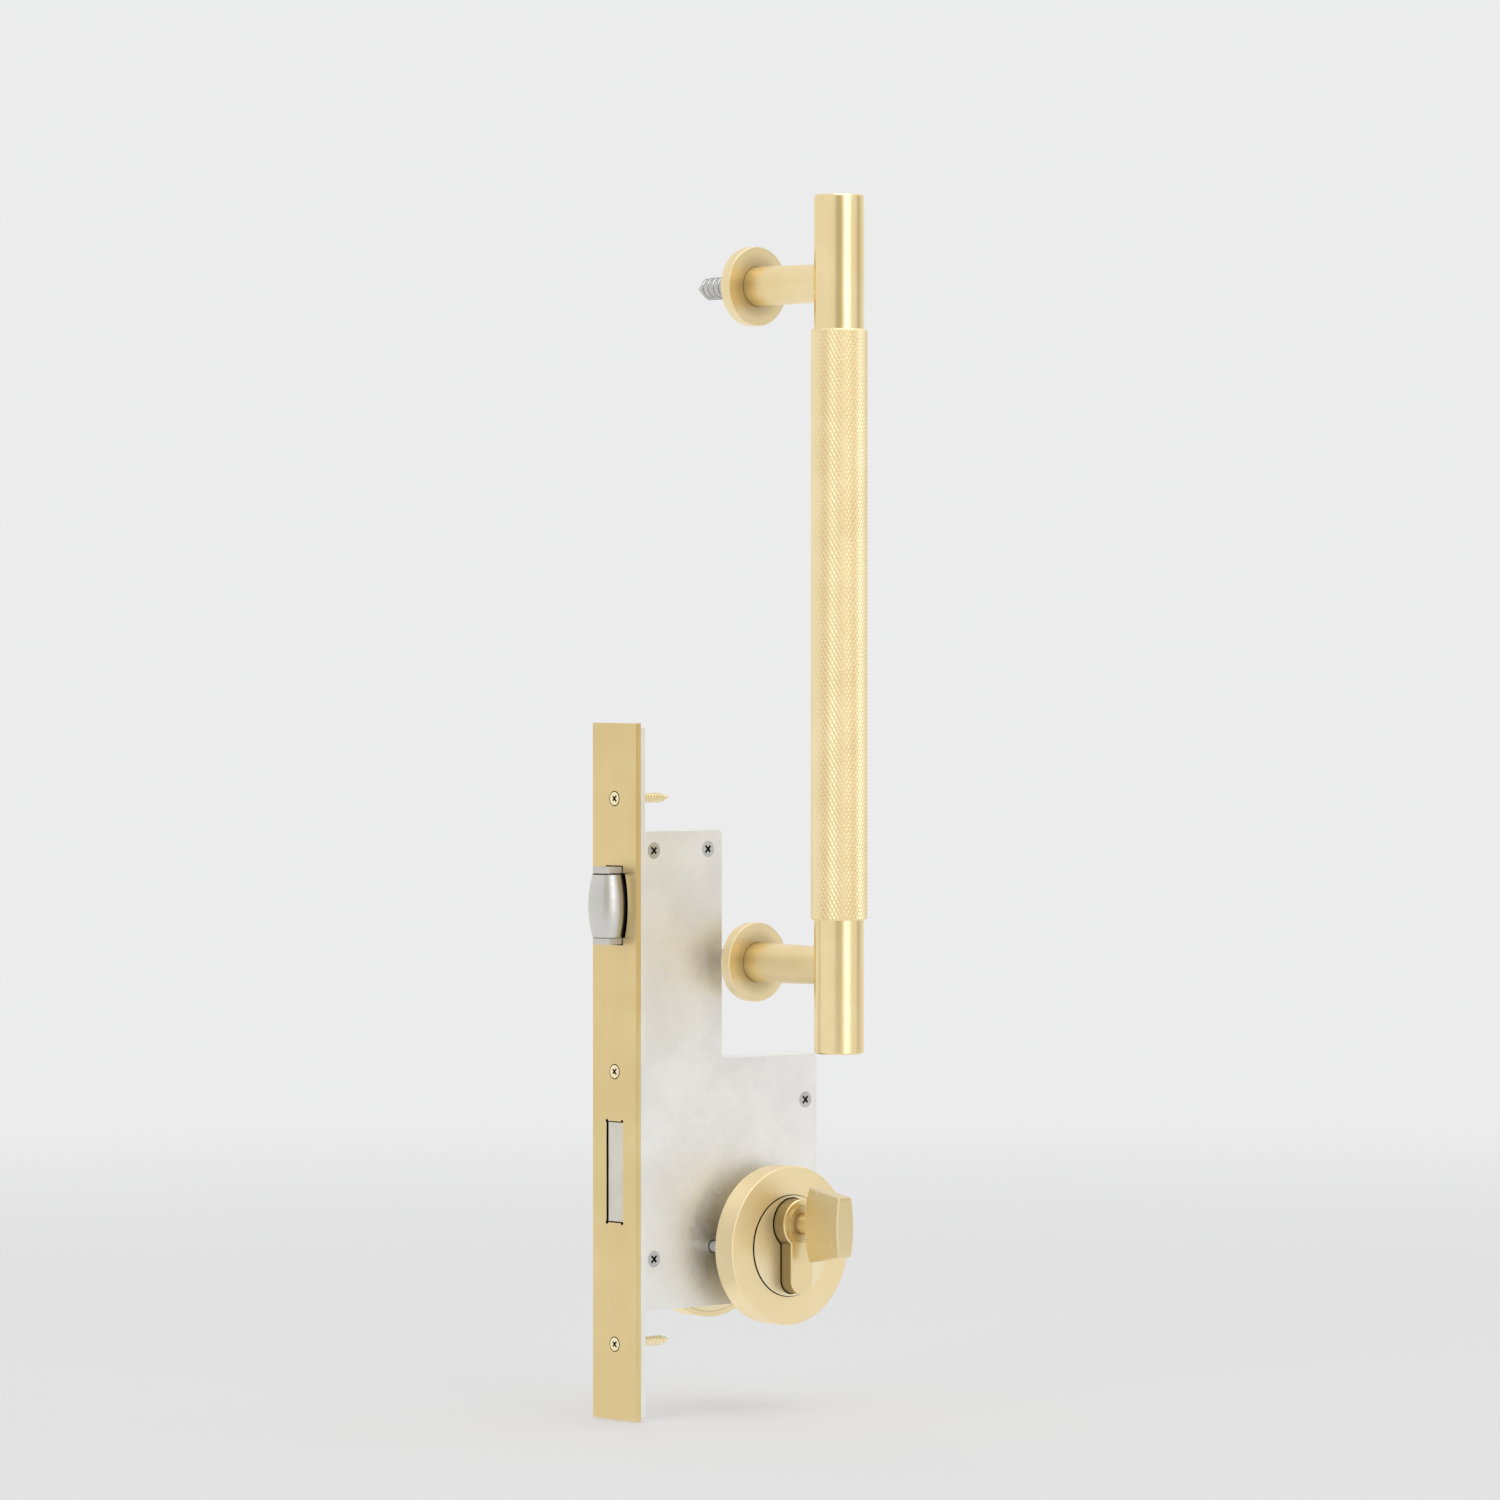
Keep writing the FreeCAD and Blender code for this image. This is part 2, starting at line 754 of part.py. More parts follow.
def make_outer_plug():
    clip_y = cam_far_y - clip_thickness - seat_play
    inner_end = clip_y - seat_play - plug_beyond_clip
    profile = [
        (inner_end, 0),
        (inner_end, journal_radius),
        (clip_y - seat_play, journal_radius),
        (clip_y - seat_play, journal_radius - clip_groove_depth),
        (cam_far_y, journal_radius - clip_groove_depth),
        (cam_far_y, plug_radius),
        (cylinder_far_y, plug_radius),
        (cylinder_far_y, 0),
    ]
    plug = turned(profile, Vector(0, 0, 0), along_y)
    half = keyway_width / 2
    middle_z = (keyway_top - plug_radius) / 2
    keyway = [
        (-half - keyway_jog, -plug_radius - 1),
        (half - keyway_jog, -plug_radius - 1),
        (half - keyway_jog, middle_z - keyway_jog),
        (half, middle_z),
        (half, keyway_top),
        (-half, keyway_top),
        (-half, middle_z + keyway_jog),
        (-half - keyway_jog, middle_z),
    ]
    plug = plug.cut(plate_xz(keyway, (cam_far_y + keyway_floor, cylinder_far_y + 1)))
    holes = [
        rod(pin_radius + seat_play, Vector(0, y, -plug_radius - 1), Vector(0, y, pin_roof + seat_play))
        for y in pin_stations()
    ]
    return plug.cut(group(holes)), clip_ring(clip_y)


def make_pin_stacks():
    key_pins = []
    drivers = []
    springs = []
    plugs = []
    plug_low = leg_low_z + chamber_plug_inset
    plug_high = plug_low + chamber_plug_length
    for index, y in enumerate(pin_stations()):
        top = pin_roof
        bottom = top - key_pin_length(index)
        profile = [(0, 0), (0, key_pin_tip_radius), (key_pin_nose, pin_radius)]
        profile += [(top - bottom, pin_radius), (top - bottom, 0)]
        key_pins.append(turned(profile, Vector(0, y, top), -along_z))
        driver_low = bottom - driver_pin_length
        drivers.append(rod(pin_radius, Vector(0, y, driver_low), Vector(0, y, bottom)))
        springs.append(
            coil_spring(
                pin_radius - pin_spring_wire - seat_play,
                pin_spring_wire,
                pin_spring_sides,
                driver_low - plug_high,
                pin_spring_turns,
                Vector(0, y, plug_high),
                along_z,
            )
        )
        plugs.append(rod(pin_radius, Vector(0, y, plug_low), Vector(0, y, plug_high)))
    return {
        "key_pins": group(key_pins),
        "driver_pins": group(drivers),
        "pin_springs": group(springs),
        "chamber_plugs": group(plugs),
    }


def make_cylinder():
    plug, clip = make_outer_plug()
    nodes = {"cylinder_body": make_cylinder_body(), "outer_plug": plug, "plug_clip": clip}
    nodes.update(make_pin_stacks())
    screw_start = Vector(forend_front_x, lock_y, cylinder_screw_z)
    screw = countersunk_screw(
        cylinder_screw_radius,
        cylinder_screw_head_radius,
        leg_radius - cylinder_screw_end_gap - forend_front_x,
        screw_start,
        along_x,
    )
    nodes["cylinder_screw"] = screw.cut(cross_recess(cylinder_screw_head_radius, screw_start, along_x))
    return nodes


def barrel_outline(end_half, mid_half, half_length):
    """Closed outline in the Y-Z plane of a barrel seen from the side, about the origin."""
    corners = [
        Vector(0, end_half, -half_length),
        Vector(0, end_half, half_length),
        Vector(0, -end_half, half_length),
        Vector(0, -end_half, -half_length),
    ]
    bulge = Vector(0, mid_half, 0)
    edges = [
        Part.Arc(corners[0], bulge, corners[1]).toShape(),
        Part.LineSegment(corners[1], corners[2]).toShape(),
        Part.Arc(corners[2], -bulge, corners[3]).toShape(),
        Part.LineSegment(corners[3], corners[0]).toShape(),
    ]
    return Part.Wire(edges)


def barrel(end_radius, mid_radius, half_length):
    """Solid of revolution about Z whose side is one shallow arc."""
    low = Vector(end_radius, 0, -half_length)
    high = Vector(end_radius, 0, half_length)
    edges = [
        Part.Arc(low, Vector(mid_radius, 0, 0), high).toShape(),
        Part.LineSegment(high, Vector(0, 0, half_length)).toShape(),
        Part.LineSegment(Vector(0, 0, half_length), Vector(0, 0, -half_length)).toShape(),
        Part.LineSegment(Vector(0, 0, -half_length), low).toShape(),
    ]
    return Part.Face(Part.Wire(edges)).revolve(Vector(0, 0, 0), along_z, 360)


def roller_slot(x_span):
    """Slot that the fork slides through, bulged where the barrel passes."""
    fork = block(
        x_span,
        around(lock_y, ear_width / 2 + roller_slot_play),
        around(roller_z, pin_half + roller_slot_play),
    )
    barrel = barrel_outline(
        roller_end_radius + roller_slot_play,
        roller_mid_radius + roller_slot_play,
        roller_length / 2 + roller_side_play,
    )
    barrel.translate(Vector(min(x_span), lock_y, roller_z))
    bulge = Part.Face(barrel).extrude(along_x * abs(x_span[1] - x_span[0]))
    return fork.fuse(bulge)


def bolt_slot(x_span):
    """Slot for the deadbolt with a relief drilled at each corner."""
    half_y = bolt_thickness / 2 + bolt_slot_side_play
    half_z = bolt_height / 2 + bolt_slot_end_play
    slot = block(x_span, around(lock_y, half_y), around(bolt_centre_z, half_z))
    reliefs = [
        rod(
            bolt_slot_relief,
            Vector(min(x_span), lock_y + side * (half_y - bolt_slot_relief / 2), z),
            Vector(max(x_span), lock_y + side * (half_y - bolt_slot_relief / 2), z),
        )
        for side in (-1, 1)
        for z in around(bolt_centre_z, half_z)
    ]
    return slot.multiFuse(reliefs)


def plate_screw_points(x):
    return [
        Vector(x, lock_y, faceplate_centre_z + step * plate_screw_spacing)
        for step in (-1, 1, 0)
    ]


def make_plates():
    """Faceplate that shows, the forend behind it, and their screws."""
    plate = block(
        (front_x, forend_front_x),
        around(lock_y, faceplate_width / 2),
        around(faceplate_centre_z, faceplate_length / 2),
    )
    front_edges = edges_where(plate, lambda edge: edge_on_plane(edge, "x", front_x))
    plate = plate.makeChamfer(faceplate_edge_chamfer, front_edges)
    forend = block(
        (forend_front_x, case_front_x),
        around(lock_y, forend_width / 2),
        around(faceplate_centre_z, forend_length / 2),
    )
    through = (front_x - 1, case_front_x + 1)
    for slot in (roller_slot(through), bolt_slot(through)):
        plate = plate.cut(slot)
        forend = forend.cut(slot)
    points = plate_screw_points(front_x)
    for point in points:
        hole = countersunk_hole(
            plate_screw_radius,
            plate_screw_head_radius,
            plate_screw_length,
            point,
            along_x,
            plate_screw_head_play,
        )
        plate = plate.cut(hole)
        forend = forend.cut(hole)
    cylinder_hole = countersunk_hole(
        cylinder_screw_radius,
        cylinder_screw_head_radius,
        2 * forend_thickness,
        Vector(forend_front_x, lock_y, cylinder_screw_z),
        along_x,
    )
    forend = forend.cut(cylinder_hole)
    for z_span in case_wall_spans():
        forend = forend.cut(tab(z_span, (forend_front_x - 1, case_front_x), seat_play))

    screws = []
    for point in points:
        if abs(point.z - faceplate_centre_z) < 1e-6:
            screw = countersunk_screw(
                plate_screw_radius, plate_screw_head_radius, centre_screw_length, point, along_x
            )
        else:
            screw = wood_screw(
                plate_screw_head_radius,
                plate_screw_radius,
                case_front_x - front_x,
                plate_screw_thread_radius,
                plate_screw_length,
                point,
                along_x,
            )
        screws.append(screw.cut(cross_recess(plate_screw_head_radius, point, along_x)))
    return {
        "faceplate": plate,
        "forend": forend,
        "faceplate_wood_screws": group(screws[:2]),
        "faceplate_centre_screw": screws[2],
    }


def case_wall_spans():
    """Heights taken by the lower and the upper wall of the case."""
    return ((case_low_z, case_low_z + case_wall), (case_high_z - case_wall, case_high_z))


def tab(z_span, x_span, grow):
    return block(
        x_span, around(lock_y, case_tab_width / 2 + grow), (z_span[0] - grow, z_span[1] + grow)
    )


def case_post_points():
    """Places of the posts that the cover is screwed to."""
    front = case_front_x + case_post_inset
    below_bolt = bolt_centre_z - bolt_height / 2 - 2 * case_post_inset
    return [
        (front, case_post_high_z),
        (case_step_x - case_post_inset, case_post_high_z),
        (front, below_bolt),
        (case_rear_x - case_post_inset, case_low_z + case_post_inset),
        (leaf_post_x, leaf_post_z),
    ]


def case_holes(y_span):
    """Profile cut-out and bolt holes, punched through both cheeks."""
    near = min(y_span) - 1
    far = max(y_span) + 1
    holes = [euro_profile(cutout_play, (near, far))]
    for point in rose_bolt_points(0):
        start = Vector(point.x, near, point.z)
        end = Vector(point.x, far, point.z)
        holes.append(rod(rose_bolt_radius + shell_play, start, end))
    return group(holes)


def case_outline(inset, front):
    """Stepped outline of the case: deep round the cylinder, shallow behind the roller."""
    low = case_low_z + inset
    high = case_high_z - inset
    step_z = case_step_z - inset
    step_x = case_step_x - inset
    rear = case_rear_x - inset
    return [(front, low), (front, high), (step_x, high), (step_x, step_z), (rear, step_z), (rear, low)]


def pan_slits():
    """Open corners where the folded walls stop short of each other."""
    spans = []
    for rear, wall_top in (
        (case_rear_x, case_low_z + case_wall),
        (case_rear_x, case_step_z),
        (case_step_x, case_high_z),
    ):
        spans.append(
            block(
                (rear - case_wall - case_relief, rear - case_wall),
                (case_near_y, case_far_y - case_corner_radius),
                (wall_top - case_wall - 0.01, wall_top + 0.01),
            )
        )
    return group(spans)


def tail_hole(x, z):
    """Hole in the far cheek for a riveted tail."""
    start = Vector(x, inner_far_y - 1, z)
    return rod(rivet_tail_radius + seat_play, start, Vector(x, case_far_y + 1, z))


def make_case():
    pan = plate_xz(case_outline(0, case_front_x), (inner_near_y, case_far_y))
    hollow = plate_xz(case_outline(case_wall, case_front_x - 1), (case_near_y, inner_far_y))
    bends = edges_where(
        pan,
        lambda edge: edge_on_plane(edge, "y", case_far_y) and not edge_on_plane(edge, "x", case_front_x),
    )
    pan = pan.makeFillet(case_corner_radius, bends).cut(hollow).cut(pan_slits())
    for z_span in case_wall_spans():
        pan = fused(pan, tab(z_span, (forend_front_x, case_front_x + case_wall), 0))
    pan = pan.cut(case_holes((inner_far_y, case_far_y)))

    cover = plate_xz(case_outline(0, case_front_x), (case_near_y, inner_near_y))
    rear_corners = edges_where(
        cover, lambda edge: edge_along(edge, along_y) and not edge_on_plane(edge, "x", case_front_x)
    )
    cover = cover.makeFillet(case_corner_radius, rear_corners)
    cover = cover.cut(case_holes((case_near_y, inner_near_y)))

    posts = []
    screws = []
    for x, z in case_post_points():
        tail = rod(rivet_tail_radius, Vector(x, inner_far_y, z), Vector(x, case_far_y, z))
        pan = pan.cut(tail_hole(x, z))
        head_point = Vector(x, case_near_y, z)
        screw_room = countersunk_hole(
            cover_screw_radius,
            cover_screw_head_radius,
            cover_screw_length + cover_screw_end_gap,
            head_point,
            along_y,
        )
        cover = cover.cut(screw_room)
        barrel = rod(case_post_radius, Vector(x, inner_near_y, z), Vector(x, inner_far_y, z))
        posts.append(fused(barrel, tail).cut(screw_room))
        screw = countersunk_screw(
            cover_screw_radius, cover_screw_head_radius, cover_screw_length, head_point, along_y
        )
        screws.append(screw.cut(cross_recess(cover_screw_head_radius, head_point, along_y)))

    guides = []
    for x in guide_points():
        collar_y = lock_y + tail_thickness / 2 + guide_play
        profile = [
            (inner_near_y, 0),
            (inner_near_y, guide_radius),
            (collar_y, guide_radius),
            (collar_y, guide_collar_radius),
            (inner_far_y, guide_collar_radius),
            (inner_far_y, rivet_tail_radius),
            (case_far_y, rivet_tail_radius),
            (case_far_y, 0),
        ]
        guides.append(turned(profile, Vector(x, 0, guide_z), along_y))
        pan = pan.cut(tail_hole(x, guide_z))
    for x, z in bracket_rivet_points():
        pan = pan.cut(tail_hole(x, z))
    return {
        "lock_case": pan,
        "case_cover": cover,
        "case_posts": group(posts),
        "cover_screws": group(screws),
        "tail_guides": group(guides),
    }


def guide_points():
    return (guide_first_x, guide_first_x + guide_pitch)


def make_deadbolt():
    bolt_face_x = front_x + bolt_set_back
    bolt_rear_x = bolt_face_x + deadbolt_length
    tongue_x = bolt_rear_x - tail_tongue
    head = block(
        (bolt_face_x, bolt_rear_x),
        around(lock_y, bolt_thickness / 2),
        around(bolt_centre_z, bolt_height / 2),
    )
    nose = edges_where(head, lambda edge: edge_on_plane(edge, "x", bolt_face_x))
    head = head.makeFillet(bolt_nose_round, nose)
    slot = block(
        (tongue_x, bolt_rear_x + 1),
        around(lock_y, tail_thickness / 2 + seat_play),
        around(bolt_centre_z, bolt_height),
    )
    head = head.cut(slot)

    tail_y = around(lock_y, tail_thickness / 2)
    tail = plate_xz(
        [
            (tongue_x, tail_low_z),
            (tongue_x, tail_top_z),
            (tail_end_x, tail_top_z),
            (tail_end_x, tail_low_z),
        ],
        tail_y,
    )
    rear = edges_where(
        tail, lambda edge: edge_along(edge, along_y) and edge_on_plane(edge, "x", tail_end_x)
    )
    tail = tail.makeFillet(tail_corner_round, rear)
    for x in guide_points():
        start = Vector(x, tail_y[0], guide_z)
        end = Vector(x, tail_y[1], guide_z)
        shift = along_x * bolt_throw
        ends = [rod(guide_slot_end, start + step, end + step) for step in (Vector(0, 0, 0), shift)]
        middle = block((x, x + bolt_throw), tail_y, around(guide_z, guide_slot_end))
        tail = tail.cut(ends[0].multiFuse([ends[1], middle]))
    notch_x = bolt_throw / 2
    notch = plate_xz(
        [
            (notch_x - cam_notch_mouth / 2, tail_low_z - 1),
            (notch_x - cam_notch_mouth / 2, tail_low_z),
            (notch_x - cam_notch_throat / 2, cam_notch_shoulder_z),
            (notch_x - cam_notch_throat / 2, cam_notch_roof_z),
            (notch_x + cam_notch_throat / 2, cam_notch_roof_z),
            (notch_x + cam_notch_throat / 2, cam_notch_shoulder_z),
            (notch_x + cam_notch_mouth / 2, tail_low_z),
            (notch_x + cam_notch_mouth / 2, tail_low_z - 1),
        ],
        tail_y,
    )
    tail = tail.cut(notch)
    for x in (detent_x, detent_x + bolt_throw):
        vee = plate_xz(
            [
                (x - 2 * detent_depth, tail_top_z + detent_depth),
                (x - detent_depth / 2, tail_top_z - detent_depth),
                (x + detent_depth / 2, tail_top_z - detent_depth),
                (x + 2 * detent_depth, tail_top_z + detent_depth),
            ],
            tail_y,
        )
        tail = tail.cut(vee)

    rivets = []
    rivet_x = (tongue_x + bolt_rear_x) / 2
    for z in around((tail_low_z + tail_top_z) / 2, tail_rivet_spacing / 2):
        start = Vector(rivet_x, lock_y - bolt_thickness / 2, z)
        end = Vector(rivet_x, lock_y + bolt_thickness / 2, z)
        rivets.append(rod(tail_rivet_radius, start, end))
        room = rod(tail_rivet_radius + seat_play, start - along_y, end + along_y)
        head = head.cut(room)
        tail = tail.cut(room)
    return {"deadbolt_head": head, "deadbolt_tail": tail, "tail_rivets": group(rivets)}


def make_detent_spring():
    """Leaf hooked round its post, its nose resting in the notch of the tail."""
    post_x = leaf_post_x
    reach = case_post_radius + seat_play + leaf_thickness / 2
    run_z = leaf_post_z - reach
    nose_z = tail_top_z - detent_depth + leaf_thickness / 2 + leaf_rest_gap
    drop = run_z - nose_z
    slope = math.radians(leaf_slope)
    lean = drop / math.tan(slope)
    hook_turn = math.radians(leaf_hook_turn)
    hook_start = Vector(
        post_x + reach * math.cos(hook_turn), 0, leaf_post_z + reach * math.sin(hook_turn)
    )
    points = [
        Vector(detent_x + lean, 0, run_z),
        Vector(detent_x, 0, nose_z),
        Vector(detent_x - lean * leaf_lead_part, 0, nose_z + drop * leaf_lead_part),
    ]
    hook = Part.Arc(hook_start, Vector(post_x + reach, 0, leaf_post_z), Vector(post_x, 0, run_z)).toShape()
    flat = Part.LineSegment(Vector(post_x, 0, run_z), points[0]).toShape()
    before = points[1] + (points[0] - points[1]).normalize() * leaf_nose_round
    after = points[1] + (points[2] - points[1]).normalize() * leaf_nose_round
    low = Vector(detent_x, 0, nose_z + leaf_nose_round * math.sin(slope) / 2)
    edges = [
        hook,
        flat,
        Part.LineSegment(points[0], before).toShape(),
        Part.Arc(before, low, after).toShape(),
        Part.LineSegment(after, points[2]).toShape(),
    ]
    line = Part.Wire(edges)
    strip = line.makeOffset2D(leaf_thickness, 0, True, True)
    leaf = strip.extrude(along_y * leaf_width)
    leaf.translate(Vector(0, lock_y - leaf_width / 2, 0))
    return leaf


def bracket_rivet_points():
    x = bracket_x + bracket_foot - 2 * rivet_tail_radius
    return [(x, z) for z in around(roller_z, bracket_height / 2 - 2 * rivet_tail_radius)]


def make_roller_latch():
    """Sprung fork with a barrel roller on a pin."""
    half = roller_length / 2
    pin_low = Vector(roller_x, lock_y, roller_z - pin_half)
    pin_high = Vector(roller_x, lock_y, roller_z + pin_half)
    centre = Vector(roller_x, lock_y, roller_z)
    roller = barrel(roller_end_radius, roller_mid_radius, half)
    roller.translate(centre)
    roller = roller.cut(rod(roller_pin_radius + running_play, pin_low, pin_high))
    pin = rod(roller_pin_radius, pin_low, pin_high)

    shoulder_x = case_front_x + shell_play
    barrel_room_x = roller_x + roller_mid_radius + roller_slot_play
    ears = []
    for side in (-1, 1):
        inner_z = roller_z + side * (half + roller_side_play)
        outer_z = roller_z + side * pin_half
        cheek = block((roller_x, fork_rear_x), around(lock_y, ear_width / 2), (inner_z, outer_z))
        nose = rod(ear_radius, Vector(roller_x, lock_y, inner_z), Vector(roller_x, lock_y, outer_z))
        front_half = block(
            (roller_x - 2 * ear_radius, roller_x + ear_radius / 2),
            around(lock_y, ear_width / 2),
            (inner_z, outer_z),
        )
        ears.append(cheek.fuse(nose.common(front_half)))
    web = block(
        (barrel_room_x, fork_rear_x), around(lock_y, ear_width / 2), around(roller_z, pin_half)
    )
    heel = block(
        (shoulder_x, fork_rear_x),
        around(lock_y, carriage_block_width / 2),
        around(roller_z, pin_half + carriage_shoulder),
    )
    barrel_room = rod(
        roller_mid_radius + roller_slot_play,
        Vector(roller_x, lock_y, roller_z - half - roller_side_play),
        Vector(roller_x, lock_y, roller_z + half + roller_side_play),
    )
    stem_start = Vector(fork_rear_x, lock_y, roller_z)
    stem_end = Vector(stem_end_x, lock_y, roller_z)
    stem = rod(stem_radius, stem_start - along_x, stem_end)
    carriage = fused(web, heel, stem, *ears).cut(barrel_room)
    carriage = carriage.cut(rod(roller_pin_radius + seat_play / 2, pin_low - along_z, pin_high + along_z))

    spring = coil_spring(
        latch_spring_radius,
        latch_spring_wire / 2,
        latch_spring_sides,
        latch_spring_length,
        latch_spring_turns,
        stem_start,
        along_x,
    )

    stand = block(
        (bracket_x, bracket_x + bracket_thickness),
        (inner_near_y + shell_play, inner_far_y),
        around(roller_z, bracket_height / 2),
    )
    foot = block(
        (bracket_x, bracket_x + bracket_foot),
        (inner_far_y - bracket_thickness, inner_far_y),
        around(roller_z, bracket_height / 2),
    )
    bracket = fused(stand, foot)
    stem_hole = rod(stem_radius + slide_play, stem_start, stem_end + along_x)
    bracket = bracket.cut(stem_hole)
    rivets = []
    for x, z in bracket_rivet_points():
        start = Vector(x, inner_far_y - bracket_thickness, z)
        end = Vector(x, case_far_y, z)
        rivets.append(rod(rivet_tail_radius, start, end))
        bracket = bracket.cut(rod(rivet_tail_radius + seat_play, start - along_y, end + along_y))
    return {
        "roller": roller,
        "roller_pin": pin,
        "roller_carriage": carriage,
        "roller_spring": spring,
        "spring_bracket": bracket,
        "bracket_rivets": group(rivets),
    }


nodes = {}
nodes.update(make_handle())
nodes.update(make_escutcheons())
nodes.update(make_cylinder())
nodes.update(make_turn_parts())
nodes.update(make_plates())
nodes.update(make_case())
nodes.update(make_deadbolt())
nodes["detent_spring"] = make_detent_spring()
nodes.update(make_roller_latch())

os.makedirs("parts", exist_ok=True)
for name, shape in nodes.items():
    if not shape.isValid() or not shape.Solids:
        raise ValueError(name + " is not a valid solid")
    shape.exportStep("parts/" + name + ".step")
print(len(nodes), "nodes; turn sweep", round(2 * half_sweep, 3), "degrees")
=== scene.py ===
import json
import math

import bmesh
import bpy
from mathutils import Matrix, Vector


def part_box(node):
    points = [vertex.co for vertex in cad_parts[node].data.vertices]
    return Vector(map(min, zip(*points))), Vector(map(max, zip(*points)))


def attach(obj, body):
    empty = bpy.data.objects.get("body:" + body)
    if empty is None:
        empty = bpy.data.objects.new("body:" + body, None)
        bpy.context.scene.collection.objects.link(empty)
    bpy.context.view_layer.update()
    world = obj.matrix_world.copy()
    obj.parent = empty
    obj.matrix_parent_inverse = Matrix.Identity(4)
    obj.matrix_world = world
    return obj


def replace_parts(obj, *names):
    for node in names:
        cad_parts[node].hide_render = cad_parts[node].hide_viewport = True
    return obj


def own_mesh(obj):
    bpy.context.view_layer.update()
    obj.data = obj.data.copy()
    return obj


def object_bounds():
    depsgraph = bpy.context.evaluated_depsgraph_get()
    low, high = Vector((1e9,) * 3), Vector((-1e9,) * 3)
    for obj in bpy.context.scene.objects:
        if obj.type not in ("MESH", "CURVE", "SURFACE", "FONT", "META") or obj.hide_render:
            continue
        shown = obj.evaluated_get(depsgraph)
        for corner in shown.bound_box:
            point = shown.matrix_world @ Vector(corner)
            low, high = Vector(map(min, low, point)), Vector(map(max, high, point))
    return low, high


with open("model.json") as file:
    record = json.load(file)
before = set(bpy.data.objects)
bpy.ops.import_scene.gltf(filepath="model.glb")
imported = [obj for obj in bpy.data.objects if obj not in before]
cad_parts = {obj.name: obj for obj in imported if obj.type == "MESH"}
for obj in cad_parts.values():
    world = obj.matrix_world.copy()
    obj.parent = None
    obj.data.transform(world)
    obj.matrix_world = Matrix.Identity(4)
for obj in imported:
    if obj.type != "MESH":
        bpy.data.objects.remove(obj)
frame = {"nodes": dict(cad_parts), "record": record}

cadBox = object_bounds()
nodes = frame["nodes"]
slotOfNode = {part["node"]: part["material_slot"] for part in frame["record"]["subparts"]}
print("frame loaded:", len(nodes), "nodes")


# camera, fitted to the faceplate's corners and the ends of the bar
camera = {
    "place": (-1.6516, -1.7900, 0.2094),
    "aim": (0.67547, 0.73715, -0.018568),
    "lens": 168.0,
    "sensor": 36.0,
    "nearest": 0.05,
    "farthest": 30.0,
}


def setCamera(values):
    data = bpy.data.cameras.new("photoCamera")
    data.lens = values["lens"]
    data.sensor_width = values["sensor"]
    data.clip_start = values["nearest"]
    data.clip_end = values["farthest"]
    view = bpy.data.objects.new("photoCamera", data)
    view.location = values["place"]
    view.rotation_mode = "QUATERNION"
    view.rotation_quaternion = Vector(values["aim"]).to_track_quat("-Z", "Y")
    bpy.context.scene.collection.objects.link(view)
    bpy.context.scene.camera = view


setCamera(camera)
bpy.context.scene.view_settings.view_transform = "Standard"
print("camera set")


def addNode(tree, kind, inputs=None, **settings):
    made = tree.nodes.new(kind)
    for name, value in settings.items():
        setattr(made, name, value)
    for name, value in (inputs or {}).items():
        if isinstance(value, bpy.types.NodeSocket):
            tree.links.new(value, made.inputs[name])
        else:
            made.inputs[name].default_value = value
    return made


def grey(level):
    return (level, level, level, 1.0)


warmth = {"green": 0.165, "blue": 0.60}  # share that each loses as a part of the room gets dimmer


def warm(level):
    dim = 1 - level
    green = level * (1 - warmth["green"] * dim)
    blue = level * (1 - warmth["blue"] * dim)
    return (level, green, blue, 1.0)


# room: pale walls all round, with soft darker strips that a satin bar picks up
room = {
    "background": (0.84, 0.84, 0.845, 1.0),
    "fill": 0.55,
    "strips": [  # degrees round from straight in front, brightness
        (-180, 0.92),
        (-100, 0.93),
        (-64, 0.90),
        (-56, 0.58),
        (-34, 0.52),
        (-25, 0.98),
        (14, 0.98),
        (26, 0.88),
        (41, 0.93),
        (50, 0.60),
        (62, 0.57),
        (78, 0.84),
        (110, 0.92),
        (180, 0.92),
    ],
    "overhead": 0.95,
    "underfoot": 0.80,
    "fadeFrom": 0.35,
    "fadeTo": 0.85,
}


